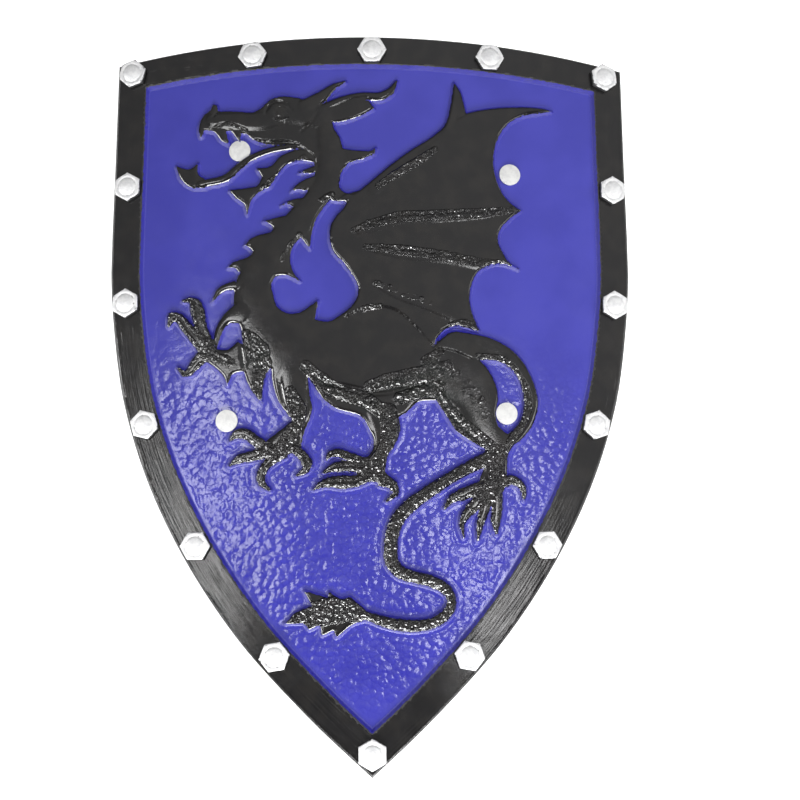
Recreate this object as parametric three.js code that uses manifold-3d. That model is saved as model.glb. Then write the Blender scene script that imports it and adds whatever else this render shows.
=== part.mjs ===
// A heater shield for a costume or for play fighting, moulded in dense foam, with a dragon
// raised on its face. It lies on its back: millimetres, +Z up, the top edge towards +Y and
// the tip towards -Y. The origin is on the ground under the middle of its bounding box.

import * as THREE from 'three';
import { mergeVertices } from 'three/addons/utils/BufferGeometryUtils.js';
import Module from 'manifold-3d';

const wasm = await Module();
wasm.setup();

// Size and shape of the board
const TALL = 610;              // from the tip to the middle of the top edge
const HALF_WIDE = 219;         // half of the greatest width
const BOW = 24;                // how far the middle stands in front of the long edges
const FIELD_THICK = 15;        // board under the blue field
const RIM_PROUD = 3.5;         // how far the black rim stands above the field
const RIM_WIDE = 27;
const RIM_ROUND = 2;           // worn edge of the rim, outside and inside
const BACK_ROUND = 3;          // eased edge of the back
// The long side, from the top corner to the tip: share of the height above the tip, and
// share of the greatest half width
const SIDE = [
  [0.970, 0.995], [0.835, 0.997], [0.672, 1.0], [0.604, 0.986], [0.493, 0.937], [0.382, 0.835],
  [0.274, 0.681], [0.170, 0.477], [0.071, 0.216], [0, 0],
];
const ACROSS = 12;             // facets across the board

// Studs of the rim, with a six-sided head and a low dome on it
const STUD_FLATS = 21.5;
const STUD_TALL = 4.5;
const STUD_DOME_WIDE = 15.5;
const STUD_DOME_TALL = 1.6;
const STUD_CHAMFER = 0.9;
const STUD_PIN_WIDE = 6;
const STUD_PIN_DEEP = 7;
const TOP_STUDS = [-0.931, -0.46, 0, 0.457, 0.916];    // shares of the greatest half width
const SIDE_STUDS = [0.789, 0.624, 0.456, 0.294, 0.152]; // shares of the height above the tip
// How far each head is turned, clockwise round the rim from the upper left corner
const STUD_TURNS = [18, 8, 0, 0, 37, 30, 31, 19, 2, 50, 30, 9, 0, 46, 30, 30];

// Rivets through the field, which hold the two straps on the back
const RIVET_HEAD_WIDE = 18;
const RIVET_HEAD_TALL = 1.8;
const RIVET_EDGE = 0.7;
const RIVET_PIN_WIDE = 5;
const RIVET_BACK_WIDE = 13;
const RIVET_BACK_TALL = 1.4;
// Each strap runs from its upper rivet to its lower one: share of the greatest half width,
// and share of the height above the tip
const STRAPS = {
  left: { upper: [-0.507, 0.836], lower: [-0.539, 0.460] },
  right: { upper: [0.532, 0.805], lower: [0.503, 0.470] },
};
const STRAP_WIDE = 38;
const STRAP_THICK = 2.4;
const STRAP_END = 22;          // webbing past each rivet
const STRAP_SLACK = 9;         // how far the middle of a strap hangs off the back
const STRAP_GAP = 0.8;         // between its ends and the back
const GAP = 0.35;              // between other pieces that touch

// The dragon
const RELIEF = 3.4;            // height of the dragon above the field
const CREST = 1.5;             // its rounded forms stand this much higher
const SUNK = 2;                // how deep raised forms reach into the board

// The board is bowed about a line along its length, and lies on the eased long edges
const REST_HALF = HALF_WIDE - BACK_ROUND;
const RADIUS = (REST_HALF * REST_HALF + BOW * BOW) / (2 * BOW);
const bowAt = (x) => Math.sqrt(RADIUS * RADIUS - x * x) - (RADIUS - BOW);
const leanAt = (x) => Math.asin(x / RADIUS);
const TIP_Y = -TALL / 2;
const TOP_LEVEL = FIELD_THICK + RIM_PROUD;
const TOP_RISE = TALL * (1 - SIDE[0][0]);   // the top edge bows up between its corners
const STUD_CORNERS = 2 * STUD_FLATS / Math.sqrt(3);

// Shapes as solids, and solids as meshes
function solidOf(geometry) {
  geometry.deleteAttribute('normal');
  geometry.deleteAttribute('uv');
  const merged = mergeVertices(geometry, 1e-4);
  const at = merged.getAttribute('position');
  const points = Array.from({ length: at.count }, (_, i) => [at.getX(i), at.getY(i), at.getZ(i)]);
  const corners = Array.from(merged.index.array);
  const triangles = [];
  for (let i = 0; i < corners.length; i += 3) {
    const face = corners.slice(i, i + 3);
    if (new Set(face).size === 3) {
      triangles.push(face);
    }
  }
  return solidFrom(points, triangles);
}

function solidFrom(points, triangles) {
  const vertProperties = new Float32Array(points.flat());
  const triVerts = new Uint32Array(triangles.flat());
  return new wasm.Manifold(new wasm.Mesh({ numProp: 3, vertProperties, triVerts }));
}

function geometryOf(solid) {
  const mesh = solid.getMesh();
  const geometry = new THREE.BufferGeometry();
  geometry.setAttribute('position', new THREE.BufferAttribute(mesh.vertProperties, 3));
  geometry.setIndex(new THREE.BufferAttribute(mesh.triVerts, 1));
  geometry.computeVertexNormals();
  return geometry;
}

const joined = (solids) => solids.reduce((whole, solid) => whole.add(solid));

// Outline of the board: the top edge from left to right, then the two long sides
function smooth(points, steps) {
  const curve = new THREE.SplineCurve(points.map(([x, y]) => new THREE.Vector2(x, y)));
  return Array.from({ length: steps + 1 }, (_, i) => curve.getPoint(i / steps).toArray());
}

function boardOutline() {
  const side = SIDE.map(([high, wide]) => [wide * HALF_WIDE, TIP_Y + high * TALL]);
  const right = smooth(side, 2 * (side.length - 1));
  const [cornerX, cornerY] = right[0];
  const top = [];
  for (let i = 0; i <= ACROSS; i += 1) {
    const x = cornerX * (2 * i / ACROSS - 1);
    top.push([x, cornerY + TOP_RISE * (1 - (x / cornerX) ** 2)]);
  }
  const left = right.slice(1, -1).map(([x, y]) => [-x, y]).reverse();
  return { points: [...top, ...right.slice(1), ...left], sideSteps: right.length - 1 };
}

const OUTLINE = boardOutline();

// The outline moved inwards, each edge by the same distance
function inset(points, distance) {
  const edges = points.map((p, i) => {
    const q = points[(i + 1) % points.length];
    const length = Math.hypot(q[0] - p[0], q[1] - p[1]);
    const along = [(q[0] - p[0]) / length, (q[1] - p[1]) / length];
    const inward = [along[1], -along[0]];
    return { at: [p[0] + inward[0] * distance, p[1] + inward[1] * distance], along };
  });
  return edges.map((edge, i) => {
    const before = edges[(i + edges.length - 1) % edges.length];
    const turn = before.along[0] * edge.along[1] - before.along[1] * edge.along[0];
    if (Math.abs(turn) < 1e-3) {
      return edge.at;
    }
    const dx = edge.at[0] - before.at[0];
    const dy = edge.at[1] - before.at[1];
    const run = (dx * edge.along[1] - dy * edge.along[0]) / turn;
    return [before.at[0] + before.along[0] * run, before.at[1] + before.along[1] * run];
  });
}

// One closed skin: back, outer wall, rim, inner wall and field
function board() {
  const rings = [
    [BACK_ROUND, 0], [0, BACK_ROUND], [0, TOP_LEVEL - RIM_ROUND], [RIM_ROUND, TOP_LEVEL],
    [RIM_WIDE - RIM_ROUND, TOP_LEVEL], [RIM_WIDE, FIELD_THICK],
  ];
  const points = [];
  const triangles = [];
  const loops = rings.map(([distance, level]) => inset(OUTLINE.points, distance).map(([x, y]) => {
    points.push([x, y, bowAt(x) + level]);
    return points.length - 1;
  }));
  for (let r = 0; r < loops.length - 1; r += 1) {
    const [low, high] = [loops[r], loops[r + 1]];
    for (let i = 0; i < low.length; i += 1) {
      const j = (i + 1) % low.length;
      triangles.push([low[i], high[i], high[j]], [low[i], high[j], low[j]]);
    }
  }
  fillLoop(loops[0], 0, false);
  fillLoop(loops[loops.length - 1], FIELD_THICK, true);

  // Rows from the left side to the right side close the loop, and follow the bow
  function fillLoop(loop, level, faceUp) {
    let above = loop.slice(0, ACROSS + 1);
    for (let row = 1; row <= OUTLINE.sideSteps; row += 1) {
      const right = loop[ACROSS + row];
      const left = row === OUTLINE.sideSteps ? right : loop[loop.length - row];
      const below = above.map((_, i) => {
        if (i === 0 || left === right) {
          return left;
        }
        if (i === ACROSS) {
          return right;
        }
        const x = THREE.MathUtils.lerp(points[left][0], points[right][0], i / ACROSS);
        const y = THREE.MathUtils.lerp(points[left][1], points[right][1], i / ACROSS);
        points.push([x, y, bowAt(x) + level]);
        return points.length - 1;
      });
      for (let i = 0; i < ACROSS; i += 1) {
        const quad = [above[i], below[i], below[i + 1], above[i + 1]];
        const corners = quad.filter((corner, k) => quad.indexOf(corner) === k);
        for (let k = 1; k < corners.length - 1; k += 1) {
          const face = [corners[0], corners[k], corners[k + 1]];
          triangles.push(faceUp ? face : face.reverse());
        }
      }
      above = below;
    }
  }
  return solidFrom(points, triangles);
}

// The dragon is drawn on a sheet of 800 by 800 steps, as the eye sees it: x to the right and
// y down. Each position is a line of sight, followed down to the bowed top of the relief. The
// eye and the spot that it looks at are given as shares of the board's height.
const EYE = new THREE.Vector3(-0.01874, -0.26705, 1.66738).multiplyScalar(TALL);
const LOOKED_AT = new THREE.Vector3(0.0378, -0.01066, 0.04918).multiplyScalar(TALL);
const HEAD_TILT = THREE.MathUtils.degToRad(0.25);
const SHEET = { middle: 400, stepsAway: 1216.5 };   // a step's size is one step that far off
const RELIEF_LEVEL = FIELD_THICK + RELIEF;
const SIGHT = LOOKED_AT.clone().sub(EYE).normalize();
const RIGHTWARDS = SIGHT.clone().cross(new THREE.Vector3(0, 1, 0)).normalize()
  .applyAxisAngle(SIGHT, HEAD_TILT);
const UPWARDS = RIGHTWARDS.clone().cross(SIGHT);
const SIGHT_TRIES = 8;         // each finds the bowed surface more closely

// Where a sheet position is on the board, and the size of a sheet step there
function place([sheetX, sheetY]) {
  const ray = SIGHT.clone().multiplyScalar(SHEET.stepsAway)
    .addScaledVector(RIGHTWARDS, sheetX - SHEET.middle)
    .addScaledVector(UPWARDS, SHEET.middle - sheetY);
  const spot = new THREE.Vector3(0, 0, BOW + RELIEF_LEVEL);
  let step = 0;
  for (let i = 0; i < SIGHT_TRIES; i += 1) {
    step = (spot.z - EYE.z) / ray.z;
    spot.copy(EYE).addScaledVector(ray, step);
    spot.z = bowAt(spot.x) + RELIEF_LEVEL;
  }
  return [spot.x, spot.y, step];
}

// Closed outlines of its broad parts, by their corners and bends
const PLATES = {
  head: [
    [200, 137], [198.5, 130], [200, 122], [204, 115], [210, 110], [213, 104], [217, 105],
    [218, 111], [235, 111], [252, 112], [260, 108.5], [266, 103], [272, 98.5], [282, 96],
    [300, 98], [312, 102], [322, 107], [330, 112], [334, 128], [340, 138], [343, 150], [318, 168],
    [310, 158], [299, 144], [285, 144.5], [268, 144], [255, 140], [245, 133], [241, 134],
    [240, 142], [236, 137], [231, 130.5], [226, 131], [229, 144], [221, 140], [214, 131.5],
    [204, 130], [202, 136],
  ],
  lowerJaw: [
    [322, 148], [299, 149], [288, 152], [279, 157], [270, 166], [257, 168], [262, 177], [257, 186],
    [245, 188], [229, 190], [236, 198], [244, 204], [247, 214], [252, 199], [262, 190], [270, 186],
    [277, 175], [287, 164], [300, 160], [316, 162],
  ],
  ear: [
    [326, 112], [333, 108], [345, 103], [357, 99.5], [369, 100], [374, 108], [362, 114.5],
    [347, 120], [334, 122], [325, 118],
  ],
  neck: [
    [343, 148], [355, 150], [370, 150.5], [376, 147], [374, 153], [364, 158], [350, 162],
    [343, 169], [339.5, 180], [340, 188], [347, 193], [360, 190], [372, 210], [335, 217],
    [325, 236], [330, 252], [346, 266], [356, 281], [358, 290], [348, 308], [334, 319], [318, 321],
    [300, 345], [242, 370], [243, 341], [240, 327], [234, 308], [235, 285], [240, 272], [250, 256],
    [258, 243], [273, 229], [293, 207], [306, 193], [314, 176], [315, 154], [326, 140],
  ],
  trunk: [
    [242, 335], [300, 315], [330, 318], [352, 300], [372, 280], [420, 320], [433, 347],
    [440, 340], [452, 332], [468, 333], [490, 338], [508, 347], [521, 359], [532, 378],
    [538, 398], [538, 408], [532, 426], [520, 441], [513, 446], [508, 456], [507, 474],
    [503, 492], [490, 500], [480, 482], [484, 468], [486, 449], [473, 442], [457, 431],
    [448, 418], [436, 400], [418, 402], [407, 412], [399, 417], [400, 432], [394, 446],
    [387, 458], [385, 472], [398, 483], [392, 489], [370, 481], [357, 485], [356, 461],
    [370, 454], [374, 441], [370, 430], [361, 416], [336, 408], [322, 397], [308, 376],
    [309, 392], [312, 410], [304, 433], [300, 450], [283, 456], [268, 455], [266, 441],
    [284, 427], [292, 420], [278, 400], [273, 384], [271, 368], [266, 374], [262, 392],
    [262, 402], [252, 391], [244, 372],
  ],
  arm: [
    [205, 338], [213, 344], [218, 349], [228, 349], [238, 341], [250, 350], [246, 371],
    [233, 374], [227, 385], [222, 374], [209, 363], [200, 357], [197, 345],
  ],
  wing: [
    [347, 193], [353, 194], [361, 189], [375, 177.5], [390, 165], [412, 149], [430, 138],
    [444, 126], [448.5, 115], [451.5, 99], [454, 82], [460, 91], [463.5, 102], [466, 113],
    [480, 110], [500, 107.5], [528, 107], [543, 108.5], [552, 111], [540, 113], [522, 116],
    [508, 124], [499, 136], [494.5, 150], [493.5, 163], [496, 178], [503, 194], [512, 204],
    [521, 210], [510, 218.5], [500.5, 229], [498, 240], [502, 251], [510, 263], [519, 269],
    [502, 263.5], [488, 265.5], [478, 272], [472, 283], [469.5, 297], [472, 312], [480, 331.5],
    [468, 328], [456, 325.5], [446, 329], [439, 335], [433, 346], [420, 332], [407, 318.5],
    [395, 310], [383, 307], [372, 306], [360, 310], [345, 318], [338, 290], [322, 250], [322, 225],
    [335, 202],
  ],
  tongueEnd: [
    [206, 180], [198, 174], [198, 163], [189, 169], [176, 166], [181, 179], [191, 187], [206, 188],
  ],
  tailTuft: [
    [366, 611], [350, 597], [341, 599], [329, 592], [328, 598], [304, 591], [312, 606],
    [297, 612], [284, 624], [304, 624], [309, 630], [320, 625], [322, 636], [334, 630],
    [336, 638], [352, 625], [366, 620],
  ],
};

// Holes through which the blue field shows between the forms
const HOLES = [
  [
    [330, 199.5], [338, 201], [347, 201], [344, 207], [336, 216], [330.5, 226], [330, 240],
    [334, 252], [343, 262], [352, 274], [358, 286], [357, 297], [350, 307], [340, 315], [329, 321],
    [315, 319.5], [318, 300], [311, 305], [300, 312], [288, 313], [277, 306], [273, 294],
    [271.5, 284], [276, 275.5], [287, 275], [300, 281], [292, 269], [290.5, 256], [294, 244],
    [301, 237], [310, 248.5], [311.5, 234], [316, 219], [323, 208],
  ],
  [
    [480, 360], [488, 369], [496, 385], [498, 398], [496, 413], [498, 425], [508, 434],
    [518, 425], [523, 413], [524, 398], [519, 379], [508, 366], [494, 360],
  ],
];

// Limbs, claws and the tail, as tapering strokes: x, y and half width at each point
const STROKES = {
  upperHorn: [[304, 108, 9], [322, 96, 6], [334, 86, 3], [346, 81, 0.7]],
  lowerHorn: [
    [318, 112, 6], [340, 101, 4.5], [360, 96, 4], [380, 96, 4.5], [391, 90, 3.5], [397, 80, 0.7],
  ],
  tongue: [
    [300, 145, 2.5], [270, 150, 3], [250, 158, 3], [238, 167, 3.5], [225, 178, 4], [200, 184, 3.5],
  ],
  tail: [
    [500, 453, 8], [470, 467, 6.5], [450, 478, 6], [430, 491, 6.5], [412, 504, 7], [400, 516, 7],
    [394, 528, 7], [391, 542, 7], [392, 562, 7], [400, 572, 6.5], [414, 577, 6], [430, 581, 6],
    [443, 587, 5.5], [451, 597, 5], [450, 609, 5], [442, 618, 5.5], [430, 624, 5.5],
    [415, 626, 6], [400, 625, 6], [385, 622, 5.5], [370, 617, 4.5], [356, 613, 4.5],
  ],
  raisedFingers: [
    [[208, 350, 9], [196, 338, 6.5], [187, 328, 5.5], [180, 319, 5], [172, 316, 5], [168, 327, 0.7]],
    [[208, 348, 8], [201, 328, 6], [198, 314, 7], [195, 304, 6], [190, 300, 3], [182, 301, 0.7]],
    [[208, 351, 8], [197, 362, 6], [190, 371, 4.5], [184, 374, 3], [177, 367, 0.7]],
  ],
  frontToes: [
    [[272, 452, 6], [256, 441, 5.5], [246, 434, 5.5], [237, 434, 4.5], [229, 441, 0.7]],
    [[274, 450, 6], [252, 456, 5.5], [239, 459, 4.5], [229, 466, 0.7]],
    [[284, 452, 6], [268, 463, 5], [261, 474, 4.5], [262, 483, 4], [271, 491, 0.7]],
    [[294, 448, 5], [303, 456, 5], [307, 464, 5.5], [305, 470, 3.5], [296, 476, 0.7]],
  ],
  middleToes: [
    [[364, 462, 5], [348, 456, 4.5], [338, 453, 4.5], [331, 454, 3.5], [326, 460, 0.7]],
    [[364, 467, 6], [348, 466, 5.5], [336, 467, 5], [328, 470, 3], [322, 474, 0.7]],
    [[368, 476, 6], [356, 481, 6], [342, 482, 7], [332, 482, 5.5], [322, 484, 4], [313, 490, 0.7]],
    [[380, 480, 6], [392, 485, 5], [396, 493, 3.5], [386, 502, 0.7]],
  ],
  hindToes: [
    [[488, 487, 8], [474, 490, 6.5], [461, 495, 6], [452, 499, 4.5], [444, 509, 0.7]],
    [[486, 494, 7], [472, 508, 6], [465, 516, 4.5], [462, 526, 2.5], [464, 538, 0.7]],
    [[488, 497, 6], [484, 512, 5], [480, 526, 3.5], [478, 541, 0.7]],
    [[497, 494, 6], [497, 510, 5.5], [496, 522, 4.5], [497, 535, 0.7]],
    [[500, 482, 7], [512, 480, 5], [520, 484, 4], [524, 491, 3], [524, 501, 0.7]],
  ],
  hookedSpikes: [
    [[236, 285, 5], [226, 287, 3.5], [219, 291, 3], [212, 302, 0.7]],
    [[240, 313, 12], [228, 318, 6], [220, 328, 4], [217, 338, 3], [216, 348, 0.7]],
  ],
};

// Scales that stand off the throat, as closed outlines that reach into the neck
const THROAT_SPIKES = [
  [[318, 165], [309, 167.5], [299, 172], [308, 173], [318, 172]],
  [[318, 174], [304, 179.5], [296, 185], [291, 191], [298, 189], [305, 190], [312, 188]],
  [[304, 197], [290, 200], [281, 205], [288, 203.5], [293, 206.5], [300, 205]],
  [[290, 214], [275, 217.5], [263, 221], [269, 223], [274, 228], [282, 222]],
  [[274, 231], [258, 235], [250, 239], [244.5, 245], [249, 247], [252, 251], [262, 247]],
  [[256, 251], [246, 257.5], [234, 261.5], [228, 267], [235, 268], [239, 272], [247, 266]],
];

// Rounded crests of the forms and the fingers of the wing, as strokes that taper likewise
const CRESTS = [
  [[320, 118, 8], [290, 112, 9], [262, 121, 7], [236, 121, 6], [212, 120, 5]],
  [
    [328, 128, 8], [331, 160, 9], [325, 188, 9], [306, 212, 10], [284, 238, 13], [266, 264, 16],
    [254, 292, 13], [262, 322, 16], [285, 348, 20], [330, 366, 22], [390, 370, 24],
    [450, 366, 24], [476, 392, 17], [486, 420, 12], [498, 448, 9], [495, 476, 7],
  ],
  [[292, 372, 9], [295, 400, 9], [292, 428, 8], [278, 444, 6]],
  [[380, 405, 11], [386, 434, 9], [374, 462, 7]],
  [[374, 190, 4.5], [392, 176, 4], [420, 158, 3.5], [447, 132, 3], [455, 98, 1.2]],
  [[356, 230, 4.5], [390, 219, 3.5], [440, 214, 2.5], [512, 209, 1.2]],
  [[372, 248, 4.5], [410, 251, 3.5], [450, 256, 2.5], [510, 266, 1.2]],
  [[376, 280, 4.5], [420, 297, 3.5], [450, 313, 2.5], [472, 327, 1.2]],
  [[440, 144, 3], [462, 121, 2.6], [500, 112, 2], [540, 110, 1.2]],
  [[512, 360, 6], [527, 384, 6], [530, 404, 6], [518, 430, 6], [500, 452, 5]],
];

const FLOOR = -10;
const CEILING = BOW + TOP_LEVEL + 20;
const BAR_STEP = 18;           // between the stations of a stroke

// A tall prism over a closed outline
function column(outline) {
  const shape = new THREE.Shape(outline.map(([x, y]) => new THREE.Vector2(x, y)));
  const depth = CEILING - FLOOR;
  const geometry = new THREE.ExtrudeGeometry(shape, { depth, bevelEnabled: false });
  geometry.translate(0, 0, FLOOR);
  return solidOf(geometry);
}

// Stations along a stroke: where it is, its half width, and which way is across it
function stationsOf(stroke, spacing) {
  const placed = stroke.map(([x, y, half]) => {
    const [atX, atY, step] = place([x, y]);
    return new THREE.Vector3(atX, atY, half * step);
  });
  const curve = new THREE.CatmullRomCurve3(placed, false, 'centripetal');
  const steps = Math.max(stroke.length - 1, Math.round(curve.getLength() / spacing));
  return Array.from({ length: steps + 1 }, (_, i) => {
    const at = curve.getPointAt(i / steps);
    const along = curve.getTangentAt(i / steps);
    const length = Math.hypot(along.x, along.y);
    return { x: at.x, y: at.y, half: at.z, acrossX: -along.y / length, acrossY: along.x / length };
  });
}

function strokeOutline(stroke) {
  const stations = stationsOf(stroke, BAR_STEP);
  const side = (sign) => stations.map(({ x, y, half, acrossX, acrossY }) => (
    [x + sign * half * acrossX, y + sign * half * acrossY]));
  return [...side(-1), ...side(1).reverse()];
}

// The board's curved sheet between two levels, large enough for the whole figure
function curvedSheet(low, high) {
  const points = [];
  for (let i = 0; i <= ACROSS; i += 1) {
    const x = HALF_WIDE * (2 * i / ACROSS - 1);
    for (const level of [low, high]) {
      points.push([x, TIP_Y, bowAt(x) + level], [x, -TIP_Y, bowAt(x) + level]);
    }
  }
  const triangles = [[0, 2, 3], [0, 3, 1]];
  const last = 4 * ACROSS;
  triangles.push([last, last + 1, last + 3], [last, last + 3, last + 2]);
  for (let i = 0; i < ACROSS; i += 1) {
    const a = 4 * i;
    const b = a + 4;
    triangles.push([a, a + 1, b + 1], [a, b + 1, b], [a + 2, b + 2, b + 3], [a + 2, b + 3, a + 3]);
    triangles.push([a, b, b + 2], [a, b + 2, a + 2], [a + 1, a + 3, b + 3], [a + 1, b + 3, b + 1]);
  }
  return solidFrom(points, triangles);
}

// A raised stroke with a ridge along its middle, set into the board under it
function crest(stroke) {
  const points = [];
  const triangles = [];
  const stations = stationsOf(stroke, BAR_STEP);
  const foot = FIELD_THICK - SUNK;
  const shoulder = FIELD_THICK + RELIEF;
  stations.forEach(({ x, y, half, acrossX, acrossY }, i) => {
    const ring = [
      [-1, foot], [1, foot], [1, shoulder], [0, shoulder + CREST], [-1, shoulder],
    ];
    for (const [side, level] of ring) {
      const atX = x + side * half * acrossX;
      points.push([atX, y + side * half * acrossY, bowAt(atX) + level]);
    }
    if (i > 0) {
      for (let k = 0; k < ring.length; k += 1) {
        const next = (k + 1) % ring.length;
        const [a, b] = [(i - 1) * ring.length, i * ring.length];
        triangles.push([a + k, b + next, b + k], [a + k, a + next, b + next]);
      }
    }
  });
  const end = points.length - 5;
  triangles.push([0, 2, 1], [0, 3, 2], [0, 4, 3]);
  triangles.push([end, end + 1, end + 2], [end, end + 2, end + 3], [end, end + 3, end + 4]);
  return solidFrom(points, triangles);
}

function dragon() {
  const strokes = Object.values(STROKES).flatMap((item) => (
    Array.isArray(item[0][0]) ? item : [item]));
  const outlines = [
    ...Object.values(PLATES).map((plate) => plate.map(place)),
    ...strokes.map(strokeOutline),
    ...THROAT_SPIKES.map((spike) => spike.map(place)),
  ];
  const holes = joined(HOLES.map((hole) => column(hole.map(place))));
  const figure = joined(outlines.map(column)).subtract(holes);
  const relief = figure.intersect(curvedSheet(FIELD_THICK - SUNK, FIELD_THICK + RELIEF));
  const seats = [
    ...rivetSpots.map(({ spot }) => stand(headSeat(RIVET_HEAD_WIDE), spot, FIELD_THICK)),
    ...studSpots.map((spot) => stand(headSeat(STUD_CORNERS), spot, FIELD_THICK)),
  ];
  return joined([relief, ...CRESTS.map(crest)]).subtract(joined(seats));
}

// Turned pieces stand along +Z, from a profile of radius and level that runs upwards
function turned(profile, sides) {
  const geometry = new THREE.LatheGeometry(profile.map(([r, z]) => new THREE.Vector2(r, z)), sides);
  geometry.rotateX(Math.PI / 2);
  return solidOf(geometry);
}

// Moves what stands at the origin to a place on the board, square to its surface there
function stand(solid, [x, y], level, turn = 0) {
  const normal = new THREE.Matrix4().makeRotationY(leanAt(x));
  const spot = new THREE.Matrix4().makeTranslation(x, y, bowAt(x) + level);
  const spin = new THREE.Matrix4().makeRotationZ(turn);
  return solid.transform(spot.multiply(normal).multiply(spin).elements);
}

const PIN_SIDES = 12;

function bore(width, low, high) {
  return turned([[0, low], [width / 2, low], [width / 2, high], [0, high]], PIN_SIDES);
}

// Studs of the rim
function studPlaces() {
  const middle = inset(OUTLINE.points, RIM_WIDE / 2);
  const side = middle.slice(ACROSS, ACROSS + OUTLINE.sideSteps + 1);
  const top = middle.slice(0, ACROSS + 1);
  const between = (list, axis, value) => {
    const next = list.findIndex((p, i) => i > 0 && (list[i - 1][axis] - value) * (p[axis] - value) <= 0);
    const [a, b] = [list[next - 1], list[next]];
    const share = (value - a[axis]) / (b[axis] - a[axis]);
    return [a[0] + (b[0] - a[0]) * share, a[1] + (b[1] - a[1]) * share];
  };
  const edge = top.map(([x, y]) => [x * HALF_WIDE / top[ACROSS][0], y]);
  const upper = TOP_STUDS.map((share) => between(edge, 0, share * HALF_WIDE));
  const right = SIDE_STUDS.map((share) => between(side, 1, TIP_Y + share * TALL));
  const left = right.map(([x, y]) => [-x, y]).reverse();
  return [...upper, ...right, side[side.length - 1], ...left];
}

function stud() {
  const radius = STUD_CORNERS / 2;
  const dome = STUD_DOME_WIDE / 2;
  const head = turned([
    [0, 0], [radius, 0], [radius, STUD_TALL - STUD_CHAMFER], [radius - STUD_CHAMFER, STUD_TALL],
    [0, STUD_TALL],
  ], 6);
  const cap = turned([
    [0, STUD_TALL - STUD_CHAMFER], [dome, STUD_TALL - STUD_CHAMFER], [dome, STUD_TALL],
    [dome * 0.72, STUD_TALL + STUD_DOME_TALL * 0.7], [0, STUD_TALL + STUD_DOME_TALL],
  ], PIN_SIDES);
  const pin = bore(STUD_PIN_WIDE, -STUD_PIN_DEEP, STUD_CHAMFER);
  return joined([head, cap, pin]);
}

// Rivets and straps
const BACK_HEAD_LEVEL = -(FIELD_THICK + STRAP_GAP + STRAP_THICK + GAP);
const pinPlace = ([across, high]) => [across * HALF_WIDE, TIP_Y + high * TALL];

function rivet() {
  const head = RIVET_HEAD_WIDE / 2;
  const top = GAP + RIVET_HEAD_TALL;
  const foot = BACK_HEAD_LEVEL - RIVET_BACK_TALL;
  return turned([
    [0, foot], [RIVET_BACK_WIDE / 2 - RIVET_EDGE, foot], [RIVET_BACK_WIDE / 2, foot + RIVET_EDGE],
    [RIVET_BACK_WIDE / 2, BACK_HEAD_LEVEL], [RIVET_PIN_WIDE / 2, BACK_HEAD_LEVEL],
    [RIVET_PIN_WIDE / 2, GAP], [head, GAP], [head, top - RIVET_EDGE], [head - RIVET_EDGE, top],
    [0, top],
  ], PIN_SIDES);
}

const STRAP_STEPS = 18;

function strap({ upper, lower }) {
  const start = new THREE.Vector2(...pinPlace(upper));
  const end = new THREE.Vector2(...pinPlace(lower));
  const span = start.distanceTo(end);
  const along = end.clone().sub(start).normalize();
  const across = new THREE.Vector2(-along.y, along.x);
  const points = [];
  const triangles = [];
  for (let i = 0; i <= STRAP_STEPS; i += 1) {
    const run = -STRAP_END + (span + 2 * STRAP_END) * i / STRAP_STEPS;
    const share = THREE.MathUtils.clamp((run - STRAP_END) / (span - 2 * STRAP_END), 0, 1);
    const hang = STRAP_SLACK * Math.sin(Math.PI * share) ** 0.8;
    const middle = start.clone().addScaledVector(along, run);
    for (const [side, deep] of [[-1, STRAP_THICK], [1, STRAP_THICK], [1, 0], [-1, 0]]) {
      const lean = leanAt(middle.x) * (1 - hang / STRAP_SLACK);
      const out = -(STRAP_GAP + hang + deep);
      const x = middle.x + side * across.x * STRAP_WIDE / 2;
      const y = middle.y + side * across.y * STRAP_WIDE / 2;
      const drop = -Math.tan(lean) * (x - middle.x);
      points.push([x + out * Math.sin(lean), y, bowAt(middle.x) + drop + out * Math.cos(lean)]);
    }
    if (i > 0) {
      for (let k = 0; k < 4; k += 1) {
        const [a, b, next] = [4 * (i - 1), 4 * i, (k + 1) % 4];
        triangles.push([a + k, a + next, b + next], [a + k, b + next, b + k]);
      }
    }
  }
  const last = 4 * STRAP_STEPS;
  triangles.push([0, 2, 1], [0, 3, 2], [last, last + 1, last + 2], [last, last + 2, last + 3]);
  const holes = [upper, lower].map((pin) => stand(pinHole(), pinPlace(pin), FIELD_THICK));
  return solidFrom(points, triangles).subtract(joined(holes));
}

function pinHole() {
  return bore(RIVET_PIN_WIDE + 2 * GAP, 2 * BACK_HEAD_LEVEL, -BACK_HEAD_LEVEL);
}

// Room round the head of a rivet or a stud, where the dragon comes close to it
function headSeat(wide) {
  return bore(wide + 2 * GAP, -SUNK, RELIEF + 2 * CREST);
}

// Colours from the picture: a black and blue coat, and silver paint on the metal work
const COAT = { color: 0x2a2a32, roughness: 0.4, metalness: 0 };
const SILVER = { color: 0xd8d8dc, roughness: 0.35, metalness: 0.3 };
const STEEL = { color: 0xe2e2e4, roughness: 0.3, metalness: 0.4 };
const WEBBING = { color: 0x151517, roughness: 0.9, metalness: 0 };

const shield = new THREE.Group();

function add(name, solid, look) {
  const mesh = new THREE.Mesh(geometryOf(solid), new THREE.MeshStandardMaterial(look));
  mesh.name = name;
  shield.add(mesh);
}

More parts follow.
